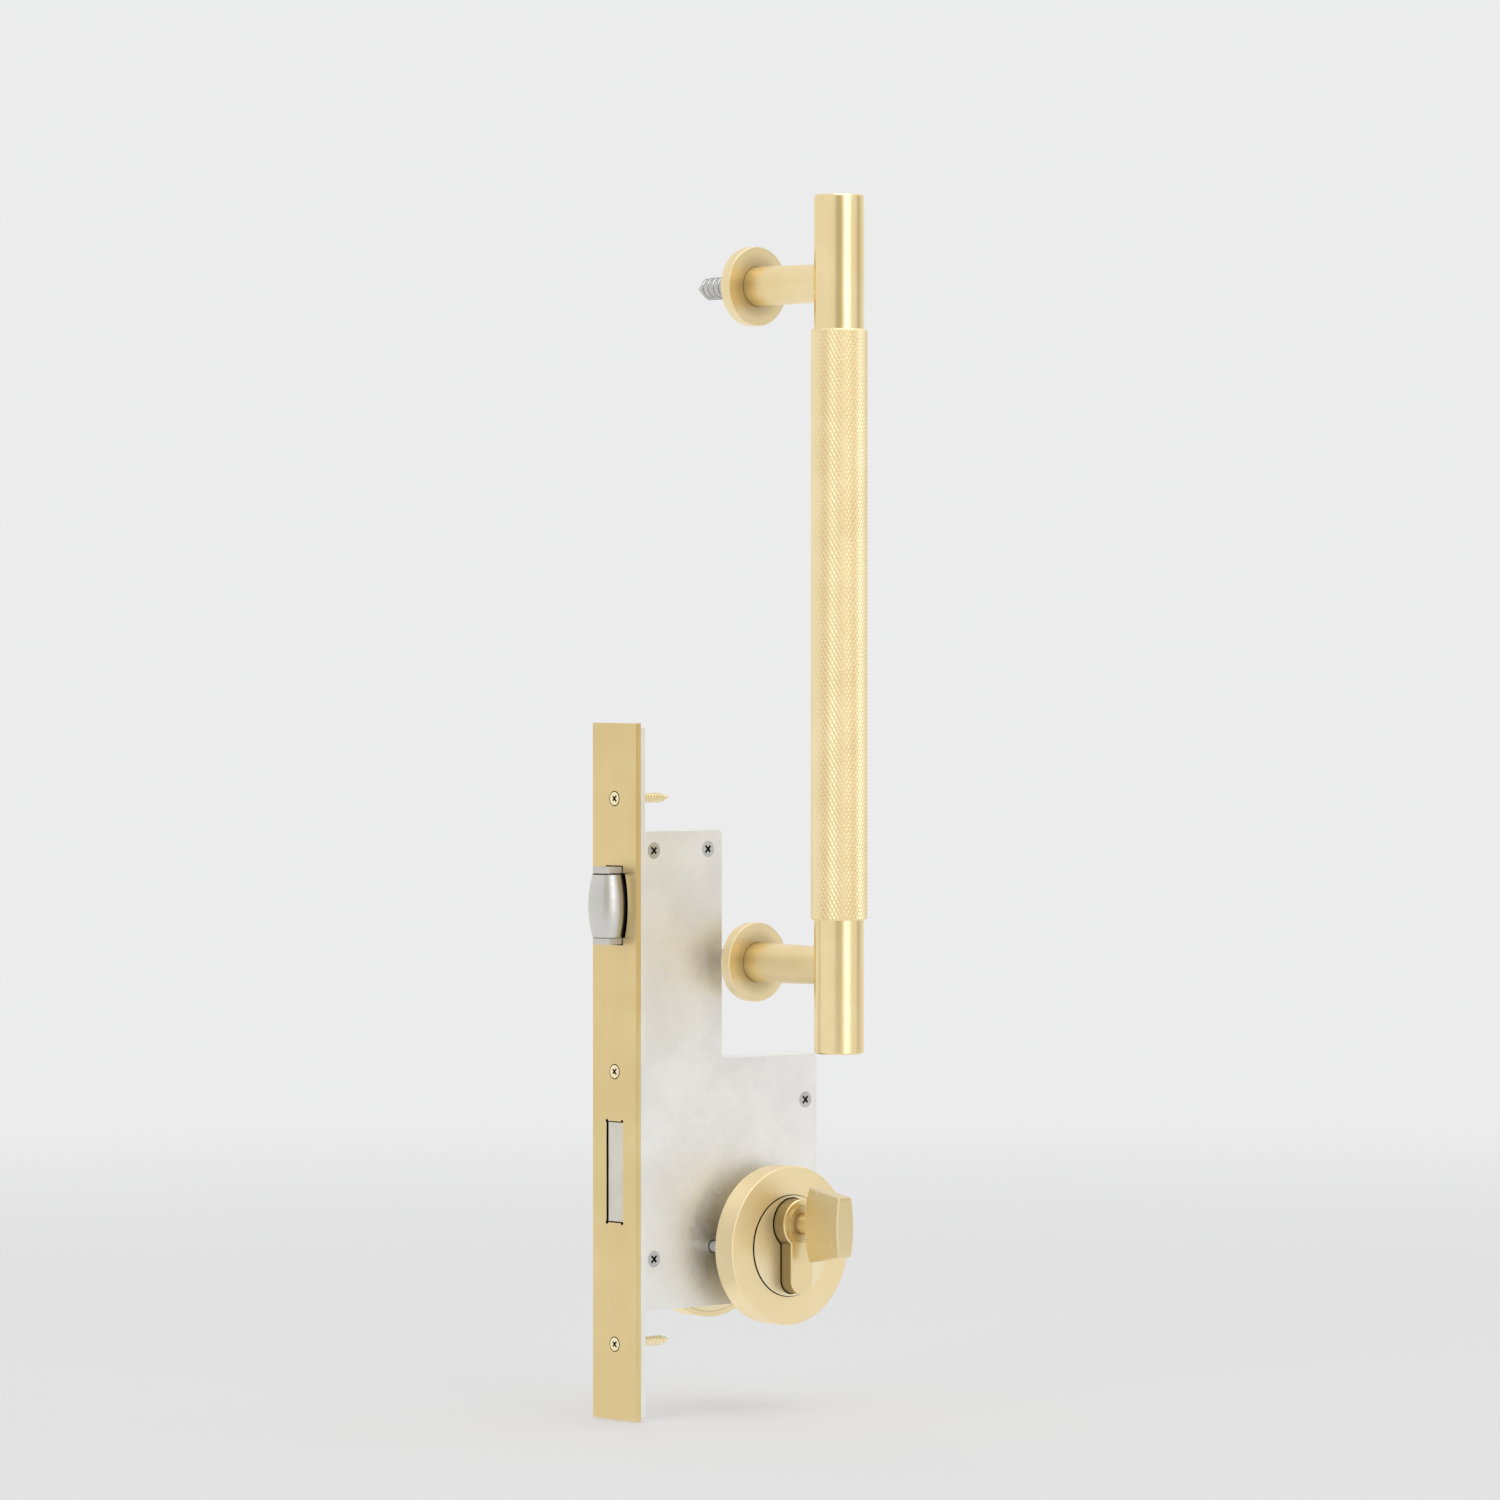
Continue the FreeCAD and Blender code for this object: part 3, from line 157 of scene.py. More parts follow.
def buildRoom(values):
    world = bpy.data.worlds.new("room")
    world.use_nodes = True
    bpy.context.scene.world = world
    tree = world.node_tree
    tree.nodes.clear()
    coords = addNode(tree, "ShaderNodeTexCoord")
    split = addNode(tree, "ShaderNodeSeparateXYZ", {0: coords.outputs["Generated"]})
    ahead = addNode(tree, "ShaderNodeMath", {0: split.outputs["Y"], 1: -1.0}, operation="MULTIPLY")
    turn = addNode(
        tree, "ShaderNodeMath", {0: split.outputs["X"], 1: ahead.outputs[0]}, operation="ARCTAN2"
    )
    spread = addNode(
        tree,
        "ShaderNodeMapRange",
        {"Value": turn.outputs[0], "From Min": -math.pi, "From Max": math.pi},
    )
    ramp = addNode(tree, "ShaderNodeValToRGB", {0: spread.outputs[0]})
    ramp.color_ramp.interpolation = "EASE"
    stops = ramp.color_ramp.elements
    while len(stops) < len(values["strips"]):
        stops.new(0.5)
    for stop, (degrees, level) in zip(stops, values["strips"]):
        stop.position = (degrees + 180) / 360
        stop.color = warm(level)
    walls = ramp.outputs["Color"]
    for sign, level in ((1, values["overhead"]), (-1, values["underfoot"])):
        fade = addNode(
            tree,
            "ShaderNodeMapRange",
            {
                "Value": split.outputs["Z"],
                "From Min": sign * values["fadeFrom"],
                "From Max": sign * values["fadeTo"],
            },
            interpolation_type="SMOOTHSTEP",
        )
        mixed = addNode(
            tree, "ShaderNodeMix", {0: fade.outputs[0], 6: walls, 7: warm(level)}, data_type="RGBA"
        )
        walls = mixed.outputs[2]
    seen = addNode(tree, "ShaderNodeBackground", {"Color": walls})
    fill = addNode(tree, "ShaderNodeBackground", {"Color": grey(values["fill"])})
    plain = addNode(tree, "ShaderNodeBackground", {"Color": values["background"]})
    rays = addNode(tree, "ShaderNodeLightPath")
    shiny = addNode(
        tree,
        "ShaderNodeMath",
        {0: rays.outputs["Is Glossy Ray"], 1: rays.outputs["Is Transmission Ray"]},
        operation="MAXIMUM",
    )
    inside = addNode(
        tree, "ShaderNodeMixShader", {0: shiny.outputs[0], 1: fill.outputs[0], 2: seen.outputs[0]}
    )
    whole = addNode(
        tree,
        "ShaderNodeMixShader",
        {0: rays.outputs["Is Camera Ray"], 1: inside.outputs[0], 2: plain.outputs[0]},
    )
    addNode(tree, "ShaderNodeOutputWorld", {"Surface": whole.outputs[0]})


lampAim = Vector((0, 0, 0.15))
lamps = {  # place, size across and up, watts, and whether metal mirrors it
    "frontBox": ((-0.24, -2.4, 0.30), (1.0, 2.8), 11.0, True),
    "leftBox": ((-2.6, -0.3, 0.9), (1.4, 2.0), 9.0, False),
    "topBox": ((0.2, -0.6, 2.6), (2.2, 2.0), 16.0, True),
    "backBox": ((0.9, 2.6, 1.0), (2.0, 2.0), 9.0, False),
}


def placeLamp(name, place, size, power, mirrored):
    data = bpy.data.lights.new(name, "AREA")
    data.shape = "RECTANGLE"
    data.size = size[0]
    data.size_y = size[1]
    data.energy = power
    lamp = bpy.data.objects.new(name, data)
    lamp.location = place
    lamp.rotation_mode = "QUATERNION"
    lamp.rotation_quaternion = (lampAim - Vector(place)).to_track_quat("-Z", "Y")
    lamp.visible_camera = False
    lamp.visible_glossy = mirrored
    bpy.context.scene.collection.objects.link(lamp)


buildRoom(room)
for lampName, lampValues in lamps.items():
    placeLamp(lampName, *lampValues)
print("room and lamps set")


# effects that several finishes share
def newGroup(name, inputs, outputs):
    group = bpy.data.node_groups.new(name, "ShaderNodeTree")
    for label, kind, value in inputs:
        socket = group.interface.new_socket(name=label, in_out="INPUT", socket_type=kind)
        socket.default_value = value
    for label, kind in outputs:
        group.interface.new_socket(name=label, in_out="OUTPUT", socket_type=kind)
    start = group.nodes.new("NodeGroupInput")
    end = group.nodes.new("NodeGroupOutput")
    return group, start.outputs, end


def makeStraightLines():  # fine lines left by a brushing belt, stretched along one axis
    group, given, end = newGroup(
        "straightLines",
        [("Stretch", "NodeSocketVector", (2500.0, 2500.0, 30.0))],
        [("Lines", "NodeSocketFloat")],
    )
    coords = addNode(group, "ShaderNodeTexCoord")
    scaled = addNode(
        group,
        "ShaderNodeVectorMath",
        {0: coords.outputs["Object"], 1: given["Stretch"]},
        operation="MULTIPLY",
    )
    noise = addNode(
        group,
        "ShaderNodeTexNoise",
        {"Vector": scaled.outputs[0], "Scale": 1.0, "Detail": 3.0, "Roughness": 0.6},
    )
    group.links.new(noise.outputs[0], end.inputs["Lines"])
    return group


def makeTurnedLines():  # rings left by a lathe, about an axis along Y
    group, given, end = newGroup(
        "turnedLines",
        [("Centre", "NodeSocketVector", (0.0, 0.0, 0.0)), ("Pitch", "NodeSocketFloat", 2600.0)],
        [("Lines", "NodeSocketFloat")],
    )
    coords = addNode(group, "ShaderNodeTexCoord")
    moved = addNode(
        group,
        "ShaderNodeVectorMath",
        {0: coords.outputs["Object"], 1: given["Centre"]},
        operation="SUBTRACT",
    )
    flat = addNode(
        group,
        "ShaderNodeVectorMath",
        {0: moved.outputs[0], 1: (1.0, 0.0, 1.0)},
        operation="MULTIPLY",
    )
    radius = addNode(group, "ShaderNodeVectorMath", {0: flat.outputs[0]}, operation="LENGTH")
    split = addNode(group, "ShaderNodeSeparateXYZ", {0: moved.outputs[0]})
    turn = addNode(
        group, "ShaderNodeMath", {0: split.outputs["X"], 1: split.outputs["Z"]}, operation="ARCTAN2"
    )
    across = addNode(
        group,
        "ShaderNodeMath",
        {0: radius.outputs["Value"], 1: given["Pitch"]},
        operation="MULTIPLY",
    )
    along = addNode(
        group, "ShaderNodeMath", {0: split.outputs["Y"], 1: given["Pitch"]}, operation="MULTIPLY"
    )
    place = addNode(
        group,
        "ShaderNodeCombineXYZ",
        {"X": across.outputs[0], "Y": along.outputs[0], "Z": turn.outputs[0]},
    )
    noise = addNode(
        group,
        "ShaderNodeTexNoise",
        {"Vector": place.outputs[0], "Scale": 1.0, "Detail": 2.0, "Roughness": 0.6},
    )
    group.links.new(noise.outputs[0], end.inputs["Lines"])
    return group


def makeToneDrift():  # slow change of tone over a few millimetres, as plating has
    group, given, end = newGroup(
        "toneDrift",
        [
            ("Light", "NodeSocketColor", grey(0.8)),
            ("Deep", "NodeSocketColor", grey(0.7)),
            ("Patch", "NodeSocketFloat", 60.0),
            ("Fleck", "NodeSocketFloat", 0.5),
            ("Grain", "NodeSocketFloat", 0.3),
        ],
        [("Colour", "NodeSocketColor"), ("Mask", "NodeSocketFloat")],
    )
    coords = addNode(group, "ShaderNodeTexCoord")
    broad = addNode(
        group,
        "ShaderNodeTexNoise",
        {"Vector": coords.outputs["Object"], "Scale": given["Patch"], "Detail": 2.0},
    )
    part = addNode(
        group, "ShaderNodeMath", {0: given["Fleck"], 1: given["Grain"]}, operation="MULTIPLY"
    )
    total = addNode(
        group, "ShaderNodeMath", {0: broad.outputs[0], 1: part.outputs[0]}, operation="ADD"
    )
    mask = addNode(
        group,
        "ShaderNodeMapRange",
        {"Value": total.outputs[0], "From Min": 0.35, "From Max": 0.85},
        interpolation_type="SMOOTHSTEP",
    )
    mixed = addNode(
        group,
        "ShaderNodeMix",
        {0: mask.outputs[0], 6: given["Light"], 7: given["Deep"]},
        data_type="RGBA",
    )
    group.links.new(mixed.outputs[2], end.inputs["Colour"])
    group.links.new(mask.outputs[0], end.inputs["Mask"])
    return group


def makePits():  # grain of a cast or blasted face
    group, given, end = newGroup(
        "pits",
        [("Size", "NodeSocketFloat", 2500.0)],
        [("Height", "NodeSocketFloat")],
    )
    coords = addNode(group, "ShaderNodeTexCoord")
    cells = addNode(
        group, "ShaderNodeTexVoronoi", {"Vector": coords.outputs["Object"], "Scale": given["Size"]}
    )
    noise = addNode(
        group,
        "ShaderNodeTexNoise",
        {"Vector": coords.outputs["Object"], "Scale": given["Size"], "Detail": 2.0},
    )
    both = addNode(
        group,
        "ShaderNodeMath",
        {0: cells.outputs["Distance"], 1: noise.outputs[0]},
        operation="ADD",
    )
    group.links.new(both.outputs[0], end.inputs["Height"])
    return group


# how softly the painted shade in a box fades at its edge
shadeInBoxSoft = 0.00012


def makeShadeInBox():  # inside of a box: painted shade, darker where a gap or a recess falls into shadow
    group, given, end = newGroup(
        "shadeInBox",
        [
            ("Centre", "NodeSocketVector", (0.0, 0.0, 0.0)),
            ("Half", "NodeSocketVector", (0.1, 0.1, 0.1)),
        ],
        [("Mask", "NodeSocketFloat")],
    )
    coords = addNode(group, "ShaderNodeTexCoord")
    moved = addNode(
        group,
        "ShaderNodeVectorMath",
        {0: coords.outputs["Object"], 1: given["Centre"]},
        operation="SUBTRACT",
    )
    away = addNode(group, "ShaderNodeVectorMath", {0: moved.outputs[0]}, operation="ABSOLUTE")
    left = addNode(
        group, "ShaderNodeVectorMath", {0: given["Half"], 1: away.outputs[0]}, operation="SUBTRACT"
    )
    parts = addNode(group, "ShaderNodeSeparateXYZ", {0: left.outputs[0]})
    across = addNode(
        group, "ShaderNodeMath", {0: parts.outputs["X"], 1: parts.outputs["Y"]}, operation="MINIMUM"
    )
    least = addNode(
        group, "ShaderNodeMath", {0: across.outputs[0], 1: parts.outputs["Z"]}, operation="MINIMUM"
    )
    mask = addNode(
        group,
        "ShaderNodeMapRange",
        {"Value": least.outputs[0], "From Min": 0.0, "From Max": shadeInBoxSoft},
    )
    group.links.new(mask.outputs[0], end.inputs["Mask"])
    return group


def makeRim():  # band at a distance from an axis or a plane: painted shade in the gap round a head, or darker, duller brass as painted shade at a foot
    group, given, end = newGroup(
        "rim",
        [
            ("Centre", "NodeSocketVector", (0.0, 0.0, 0.0)),
            ("Across", "NodeSocketVector", (1.0, 0.0, 1.0)),
            ("Radius", "NodeSocketFloat", 0.01),
            ("Half", "NodeSocketFloat", 0.0003),
            ("Soft", "NodeSocketFloat", 0.0001),
            ("Strength", "NodeSocketFloat", 1.0),
        ],
        [("Mask", "NodeSocketFloat")],
    )
    coords = addNode(group, "ShaderNodeTexCoord")
    moved = addNode(
        group,
        "ShaderNodeVectorMath",
        {0: coords.outputs["Object"], 1: given["Centre"]},
        operation="SUBTRACT",
    )
    flat = addNode(
        group,
        "ShaderNodeVectorMath",
        {0: moved.outputs[0], 1: given["Across"]},
        operation="MULTIPLY",
    )
    reach = addNode(group, "ShaderNodeVectorMath", {0: flat.outputs[0]}, operation="LENGTH")
    off = addNode(
        group,
        "ShaderNodeMath",
        {0: reach.outputs["Value"], 1: given["Radius"]},
        operation="SUBTRACT",
    )
    away = addNode(group, "ShaderNodeMath", {0: off.outputs[0]}, operation="ABSOLUTE")
    left = addNode(
        group, "ShaderNodeMath", {0: given["Half"], 1: away.outputs[0]}, operation="SUBTRACT"
    )
    mask = addNode(
        group,
        "ShaderNodeMapRange",
        {"Value": left.outputs[0], "From Max": given["Soft"], "To Max": given["Strength"]},
        interpolation_type="SMOOTHSTEP",
    )
    group.links.new(mask.outputs[0], end.inputs["Mask"])
    return group


straightLines = makeStraightLines()
turnedLines = makeTurnedLines()
toneDrift = makeToneDrift()
pits = makePits()
shadeInBox = makeShadeInBox()
rim = makeRim()


def useGroup(tree, group, inputs):
    return addNode(tree, "ShaderNodeGroup", inputs, node_tree=group)


# metal finishes: two tones, roughness from smooth to rough, and the lay of the lines
brassTones = ((0.92, 0.765, 0.46, 1.0), (0.87, 0.71, 0.40, 1.0))
finishes = {
    "barBrass": {
        "tones": brassTones, "rough": (0.20, 0.27), "stretch": (60, 60, 2400), "relief": 0.10,
    },
    "roseBrass": {
        "tones": ((0.93, 0.79, 0.51, 1.0), (0.88, 0.735, 0.45, 1.0)),
        "rough": (0.30, 0.38), "turned": (0, 0, 0), "relief": 0.12,
    },
    "escutcheonBrass": {
        "tones": ((0.965, 0.825, 0.53, 1.0), (0.93, 0.78, 0.475, 1.0)),
        "rough": (0.38, 0.48), "turned": (0, 0, 0), "relief": 0.14,
    },
    "discBrass": {
        "tones": ((0.985, 0.875, 0.625, 1.0), (0.96, 0.835, 0.575, 1.0)),
        "rough": (0.38, 0.48), "turned": (0, 0, 0), "relief": 0.14,
    },
    "cylinderBrass": {
        "tones": brassTones, "rough": (0.30, 0.38), "stretch": (1800, 60, 1800), "relief": 0.12,
    },
    "knurlBrass": {
        "tones": ((0.96, 0.82, 0.53, 1.0), (0.91, 0.76, 0.47, 1.0)),
        "rough": (0.28, 0.36), "stretch": (900, 900, 900), "relief": 0.10,
    },
    "postBrass": {
        "tones": brassTones, "rough": (0.30, 0.38), "stretch": (1800, 60, 1800), "relief": 0.12,
    },
    "knobBrass": {
        "tones": ((0.81, 0.675, 0.41, 1.0), (0.75, 0.615, 0.355, 1.0)),
        "rough": (0.26, 0.36), "stretch": (2000, 2000, 50), "relief": 0.20,
    },
    "plateBrass": {
        "tones": ((0.80, 0.64, 0.335, 1.0), (0.75, 0.59, 0.30, 1.0)),
        "rough": (0.27, 0.36), "stretch": (2200, 2200, 24), "relief": 0.16,
    },
    "screwBrass": {
        "tones": ((0.98, 0.88, 0.60, 1.0), (0.93, 0.81, 0.52, 1.0)),
        "rough": (0.20, 0.34), "stretch": (1500, 1500, 1500), "relief": 0.10,
    },
    "pinBrass": {
        "tones": ((0.80, 0.62, 0.30, 1.0), (0.68, 0.50, 0.22, 1.0)),
        "rough": (0.20, 0.32), "stretch": (80, 80, 3000), "relief": 0.10,
    },
    "rollerSteel": {
        "tones": ((0.70, 0.69, 0.67, 1.0), (0.62, 0.61, 0.59, 1.0)),
        "rough": (0.32, 0.42), "stretch": (60, 60, 2600), "relief": 0.12,
    },
    "forkSteel": {
        "tones": ((0.97, 0.95, 0.92, 1.0), (0.66, 0.645, 0.625, 1.0)),
        "rough": (0.30, 0.55), "pitted": 1300.0, "relief": 0.8, "grain": 0.7,
    },
    "boltSteel": {
        "tones": ((0.74, 0.715, 0.66, 1.0), (0.66, 0.635, 0.58, 1.0)),
        "rough": (0.30, 0.42), "stretch": (60, 2400, 60), "relief": 0.2,
    },
    "caseSteel": {
        "tones": ((0.92, 0.92, 0.915, 1.0), (0.84, 0.84, 0.835, 1.0)),
        "rough": (0.44, 0.58), "stretch": (400, 400, 400), "relief": 0.12,
    },
    "springSteel": {
        "tones": ((0.48, 0.48, 0.49, 1.0), (0.36, 0.36, 0.365, 1.0)),
        "rough": (0.22, 0.36), "stretch": (1200, 1200, 1200), "relief": 0.1,
    },
    "plainSteel": {
        "tones": ((0.60, 0.595, 0.59, 1.0), (0.48, 0.475, 0.47, 1.0)),
        "rough": (0.28, 0.44), "stretch": (900, 900, 900), "relief": 0.12,
    },
    "zincSteel": {
        "tones": ((0.66, 0.665, 0.67, 1.0), (0.52, 0.525, 0.53, 1.0)),
        "rough": (0.24, 0.38), "stretch": (1100, 1100, 1100), "relief": 0.12,
    },
}


# painted shade that darkens a finish: near black in a gap, dark brown in a recess, and darker,
# duller brass in a corner
gapShade = {"colour": (0.022, 0.016, 0.008, 1.0), "rough": 0.6}
paintedShadeBrass = {"colour": (0.30, 0.235, 0.12, 1.0), "rough": 0.45}
recessShade = {"colour": (0.13, 0.09, 0.03, 1.0), "rough": 0.5}


reliefHeight = 0.00004


def makeFinish(name, values, centre=None, paintedShades=()):
    material = bpy.data.materials.new(name)
    material.use_nodes = True
    tree = material.node_tree
    tree.nodes.clear()
    if "pitted" in values:
        marks = useGroup(tree, pits, {"Size": values["pitted"]})
        texture = marks.outputs["Height"]
    elif "turned" in values:
        marks = useGroup(tree, turnedLines, {"Centre": centre or values["turned"]})
        texture = marks.outputs["Lines"]
    else:
        marks = useGroup(tree, straightLines, {"Stretch": values["stretch"]})
        texture = marks.outputs["Lines"]
    drift = useGroup(
        tree,
        toneDrift,
        {
            "Light": values["tones"][0],
            "Deep": values["tones"][1],
            "Fleck": texture,
            "Grain": values.get("grain", 0.3),
        },
    )
    smooth, rough = values["rough"]
    sheen = addNode(
        tree,
        "ShaderNodeMapRange",
        {"Value": texture, "From Min": 0.3, "From Max": 0.7, "To Min": smooth, "To Max": rough},
    )
    colour = drift.outputs["Colour"]
    roughness = sheen.outputs[0]
    # each painted shade mixes in its darker colour and roughness by its mask
    for look, group, inputs in paintedShades:
        inside = useGroup(tree, group, inputs).outputs["Mask"]
        dark = addNode(
            tree, "ShaderNodeMix", {0: inside, 6: colour, 7: look["colour"]}, data_type="RGBA"
        )
        dull = addNode(tree, "ShaderNodeMix", {0: inside, 2: roughness, 3: look["rough"]})
        colour = dark.outputs[2]
        roughness = dull.outputs[0]
    bump = addNode(
        tree,
        "ShaderNodeBump",
        {"Height": texture, "Strength": values["relief"], "Distance": reliefHeight},
    )
    shader = addNode(
        tree,
        "ShaderNodeBsdfPrincipled",
        {"Base Color": colour, "Metallic": 1.0, "Roughness": roughness, "Normal": bump.outputs[0]},
    )
    addNode(tree, "ShaderNodeOutputMaterial", {"Surface": shader.outputs[0]})
    return material


plainFinish = {name: makeFinish(name, values) for name, values in finishes.items()}


def middle(node):
    low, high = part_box(node)
    return (low + high) / 2


finishOfNode = {
    "upper_end_bar": "barBrass",
    "lower_end_bar": "barBrass",
    "upper_post": "postBrass",
    "lower_post": "postBrass",
    "cylinder_body": "cylinderBrass",
    "turn_spindle": "roseBrass",
    "turn_knob": "knobBrass",
    "outer_plug": "roseBrass",
    "roller": "rollerSteel",
    "roller_carriage": "forkSteel",
}
finishOfSlot = {
    "satin_brass": "knobBrass",
    "knurled_brass": "knurlBrass",
    "faceplate_brass": "plateBrass",
    "brass_screw": "screwBrass",
    "pin_brass": "pinBrass",
    "stainless_steel": "rollerSteel",
    "bolt_steel": "boltSteel",
    "case_steel": "caseSteel",
    "spring_steel": "springSteel",
    "inner_steel": "plainSteel",
    "fixing_steel": "zincSteel",
}
turnedNodes = {
    "upper_rose": "roseBrass",
    "lower_rose": "roseBrass",
    "inner_rose_base": "discBrass",
    "inner_rose_cover": "escutcheonBrass",
    "outer_rose_base": "discBrass",
    "outer_rose_cover": "escutcheonBrass",
}


# where each painted shade lies, in metres, and how strong it is
paintedShadeSizes = {
    "skin": 0.0001,
    "slotEdge": 0.001,
    "gapDepth": 0.004,
    "overFace": 0.00025,
    "headGap": 0.00018,
    "headGapHalf": 0.00022,
    "rollerEdge": 0.0003,
    "roseRadius": 0.0070,
    "roseReach": 0.0056,
    "roseShade": 0.50,
    "postReach": 0.0056,
    "postShade": 0.12,
    "bodyReach": 0.0052,
    "bodySoft": 0.0006,
    "bodyShade": 0.90,
    "neckRadius": 0.0036,
    "neckReach": 0.0030,
    "neckShade": 0.24,
}


# a box of painted shade, near black unless another colour is given
def shadeBox(low, high, look=gapShade):
    low = Vector(low)
    high = Vector(high)
    return look, shadeInBox, {"Centre": tuple((low + high) / 2), "Half": tuple((high - low) / 2)}


def ringOf(look, centre, across, radius, half):
    inputs = {"Centre": tuple(centre), "Across": across, "Radius": radius}
    inputs.update({"Half": half, "Soft": half / 2})
    return look, rim, inputs


# a band of painted shade in darker brass, which is also rougher
def shadeBand(centre, across, radius, reach, strength, soft=None):
    inputs = {"Centre": tuple(centre), "Across": across, "Radius": radius}
    inputs.update({"Half": reach, "Soft": soft or reach, "Strength": strength})
    return paintedShadeBrass, rim, inputs


# painted shade for the nodes: dark in gaps and recesses, and darker brass at the feet of posts,
# round the knob's neck and on the cylinder's sides
def paintedShadeNodes(values):
    aroundX = (0.0, 1.0, 1.0)
    aroundY = (1.0, 0.0, 1.0)
    alongY = (0.0, 1.0, 0.0)
    skin = values["skin"]
    disc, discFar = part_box("inner_rose_base")
    outer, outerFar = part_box("outer_rose_base")
    plate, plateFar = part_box("faceplate")
    cover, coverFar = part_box("case_cover")
    roller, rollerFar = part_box("roller")
    # painted shade in the faceplate's slot, in the gaps round both discs and round the cylinder
    edge = Vector((0, values["slotEdge"], values["slotEdge"]))
    inset = Vector((skin, 0, 0))
    slotLow = plate + edge + inset
    slotHigh = plateFar - edge - inset
    slot = shadeBox(slotLow, slotHigh)
    # painted shade on the screws where they sink behind the faceplate's front
    screwSlot = shadeBox(slotLow, slotHigh, recessShade)
    innerGap = shadeBox(
        (disc.x, disc.y + skin / 2, disc.z), (discFar.x, disc.y + values["gapDepth"], discFar.z)
    )
    outerGap = shadeBox(
        (outer.x, outerFar.y - values["gapDepth"], outer.z),
        (outerFar.x, outerFar.y - skin, outerFar.z),
    )
    over = Vector((0, values["overFace"], 0))
    deep = Vector((0, values["gapDepth"], 0))
    bodyGap = shadeBox(disc - over, Vector((discFar.x, disc.y, discFar.z)) + deep)
    bodyGapBehind = shadeBox(Vector((outer.x, outerFar.y, outer.z)) - deep, outerFar + over)
    screw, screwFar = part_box("faceplate_centre_screw")
    headRadius = (screwFar.z - screw.z) / 2
    woodScrew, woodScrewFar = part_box("faceplate_wood_screws")
    centre = (screw + screwFar) / 2
    # painted shade in the gap round each screw head
    headGaps = []
    for z in (woodScrew.z + headRadius, centre.z, woodScrewFar.z - headRadius):
        spot = (centre.x, centre.y, z)
        reach = headRadius + values["headGap"]
        headGaps.append(ringOf(recessShade, spot, aroundX, reach, values["headGapHalf"]))
    # painted shade round the knob's neck, on the cylinder's face and along the spindle and knob
    knobBack = Vector((0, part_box("turn_knob")[1].y, 0))
    neckAlong = shadeBand(knobBack, alongY, 0.0, values["neckReach"], values["neckShade"])
    neckAround = shadeBand(
        knobBack, aroundY, values["neckRadius"], values["neckReach"], values["neckShade"]
    )
    # painted shade on the cylinder's sides near each disc face, standing in for a dark reflection,
    # in rougher brass
    bodySides = [
        shadeBand(face, alongY, 0.0, values["bodyReach"], values["bodyShade"], values["bodySoft"])
        for face in (Vector((0, disc.y, 0)), Vector((0, outerFar.y, 0)))
    ]
    paintedShades = {
        "inner_rose_base": [innerGap],
        "outer_rose_base": [outerGap],
        "cylinder_body": bodySides + [neckAround, bodyGap, bodyGapBehind],
        "turn_spindle": [neckAlong],
        "turn_knob": [neckAlong],
        "faceplate": [slot] + headGaps,
        "faceplate_wood_screws": [screwSlot] + headGaps,
        "faceplate_centre_screw": [screwSlot] + headGaps,
        # painted shadow along the roller's top edge and on the fork's ears beside it
        "roller_carriage": [
            shadeBox(
                roller - Vector((0, skin, values["rollerEdge"])),
                rollerFar + Vector((values["gapDepth"], skin, values["rollerEdge"])),
            )
        ],
        "roller": [
            shadeBox(
                (roller.x - skin, roller.y - skin, rollerFar.z - values["rollerEdge"]),
                rollerFar + Vector((skin, skin, skin)),
            )
        ],
        # painted shade on the cover screws behind the cover's front
        "cover_screws": [shadeBox((cover.x, cover.y + skin, cover.z), coverFar)],
    }
    # painted shade in a ring round each post's foot on its rose, and along the post's foot
    for name in ("upper", "lower"):
        rose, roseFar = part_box(name + "_rose")
        foot = Vector(((rose.x + roseFar.x) / 2, rose.y, (rose.z + roseFar.z) / 2))
        paintedShades[name + "_rose"] = [
            shadeBand(
                foot, aroundY, values["roseRadius"], values["roseReach"], values["roseShade"]
            )
        ]
        paintedShades[name + "_post"] = [
            shadeBand(foot, alongY, 0.0, values["postReach"], values["postShade"])
        ]
    return paintedShades


paintedShadesOfNode = paintedShadeNodes(paintedShadeSizes)


def dressNodes():
    for name, part in nodes.items():
        if name in turnedNodes:
            finish = finishes[turnedNodes[name]]
            paintedShades = paintedShadesOfNode.get(name, ())
            material = makeFinish(name + "Brass", finish, tuple(middle(name)), paintedShades)
        # other nodes with painted shade get a material of their own
        elif name in paintedShadesOfNode:
            finish = finishes[finishOfNode.get(name, finishOfSlot[slotOfNode[name]])]
            material = makeFinish(name + "Finish", finish, None, paintedShadesOfNode[name])
        else:
            material = plainFinish[finishOfNode.get(name, finishOfSlot[slotOfNode[name]])]
        part.data.materials.clear()
        part.data.materials.append(material)


dressNodes()
print("finishes made and given to the nodes")


def addPiece(name, points, faces, body, material, smooth=False):
    mesh = bpy.data.meshes.new(name)
    mesh.from_pydata(points, [], faces)
    mesh.validate()
    form = bmesh.new()
    form.from_mesh(mesh)
    bmesh.ops.dissolve_degenerate(form, dist=1e-7, edges=form.edges)
    bmesh.ops.recalc_face_normals(form, faces=form.faces)
    form.to_mesh(mesh)
    form.free()
    for face in mesh.polygons:
        face.use_smooth = smooth
    mesh.materials.append(material)
    piece = bpy.data.objects.new(name, mesh)
    bpy.context.scene.collection.objects.link(piece)
    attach(piece, body)
    return piece


# knurled grip: diamonds with small flat tops between two sets of helical grooves
grip = {
    "around": 46,
    "rows": 150,
    "grooveDepth": 0.00027,
    "flatTop": 0.30,
    "endChamfer": 0.0006,
    "boreRadius": 0.00605,
}


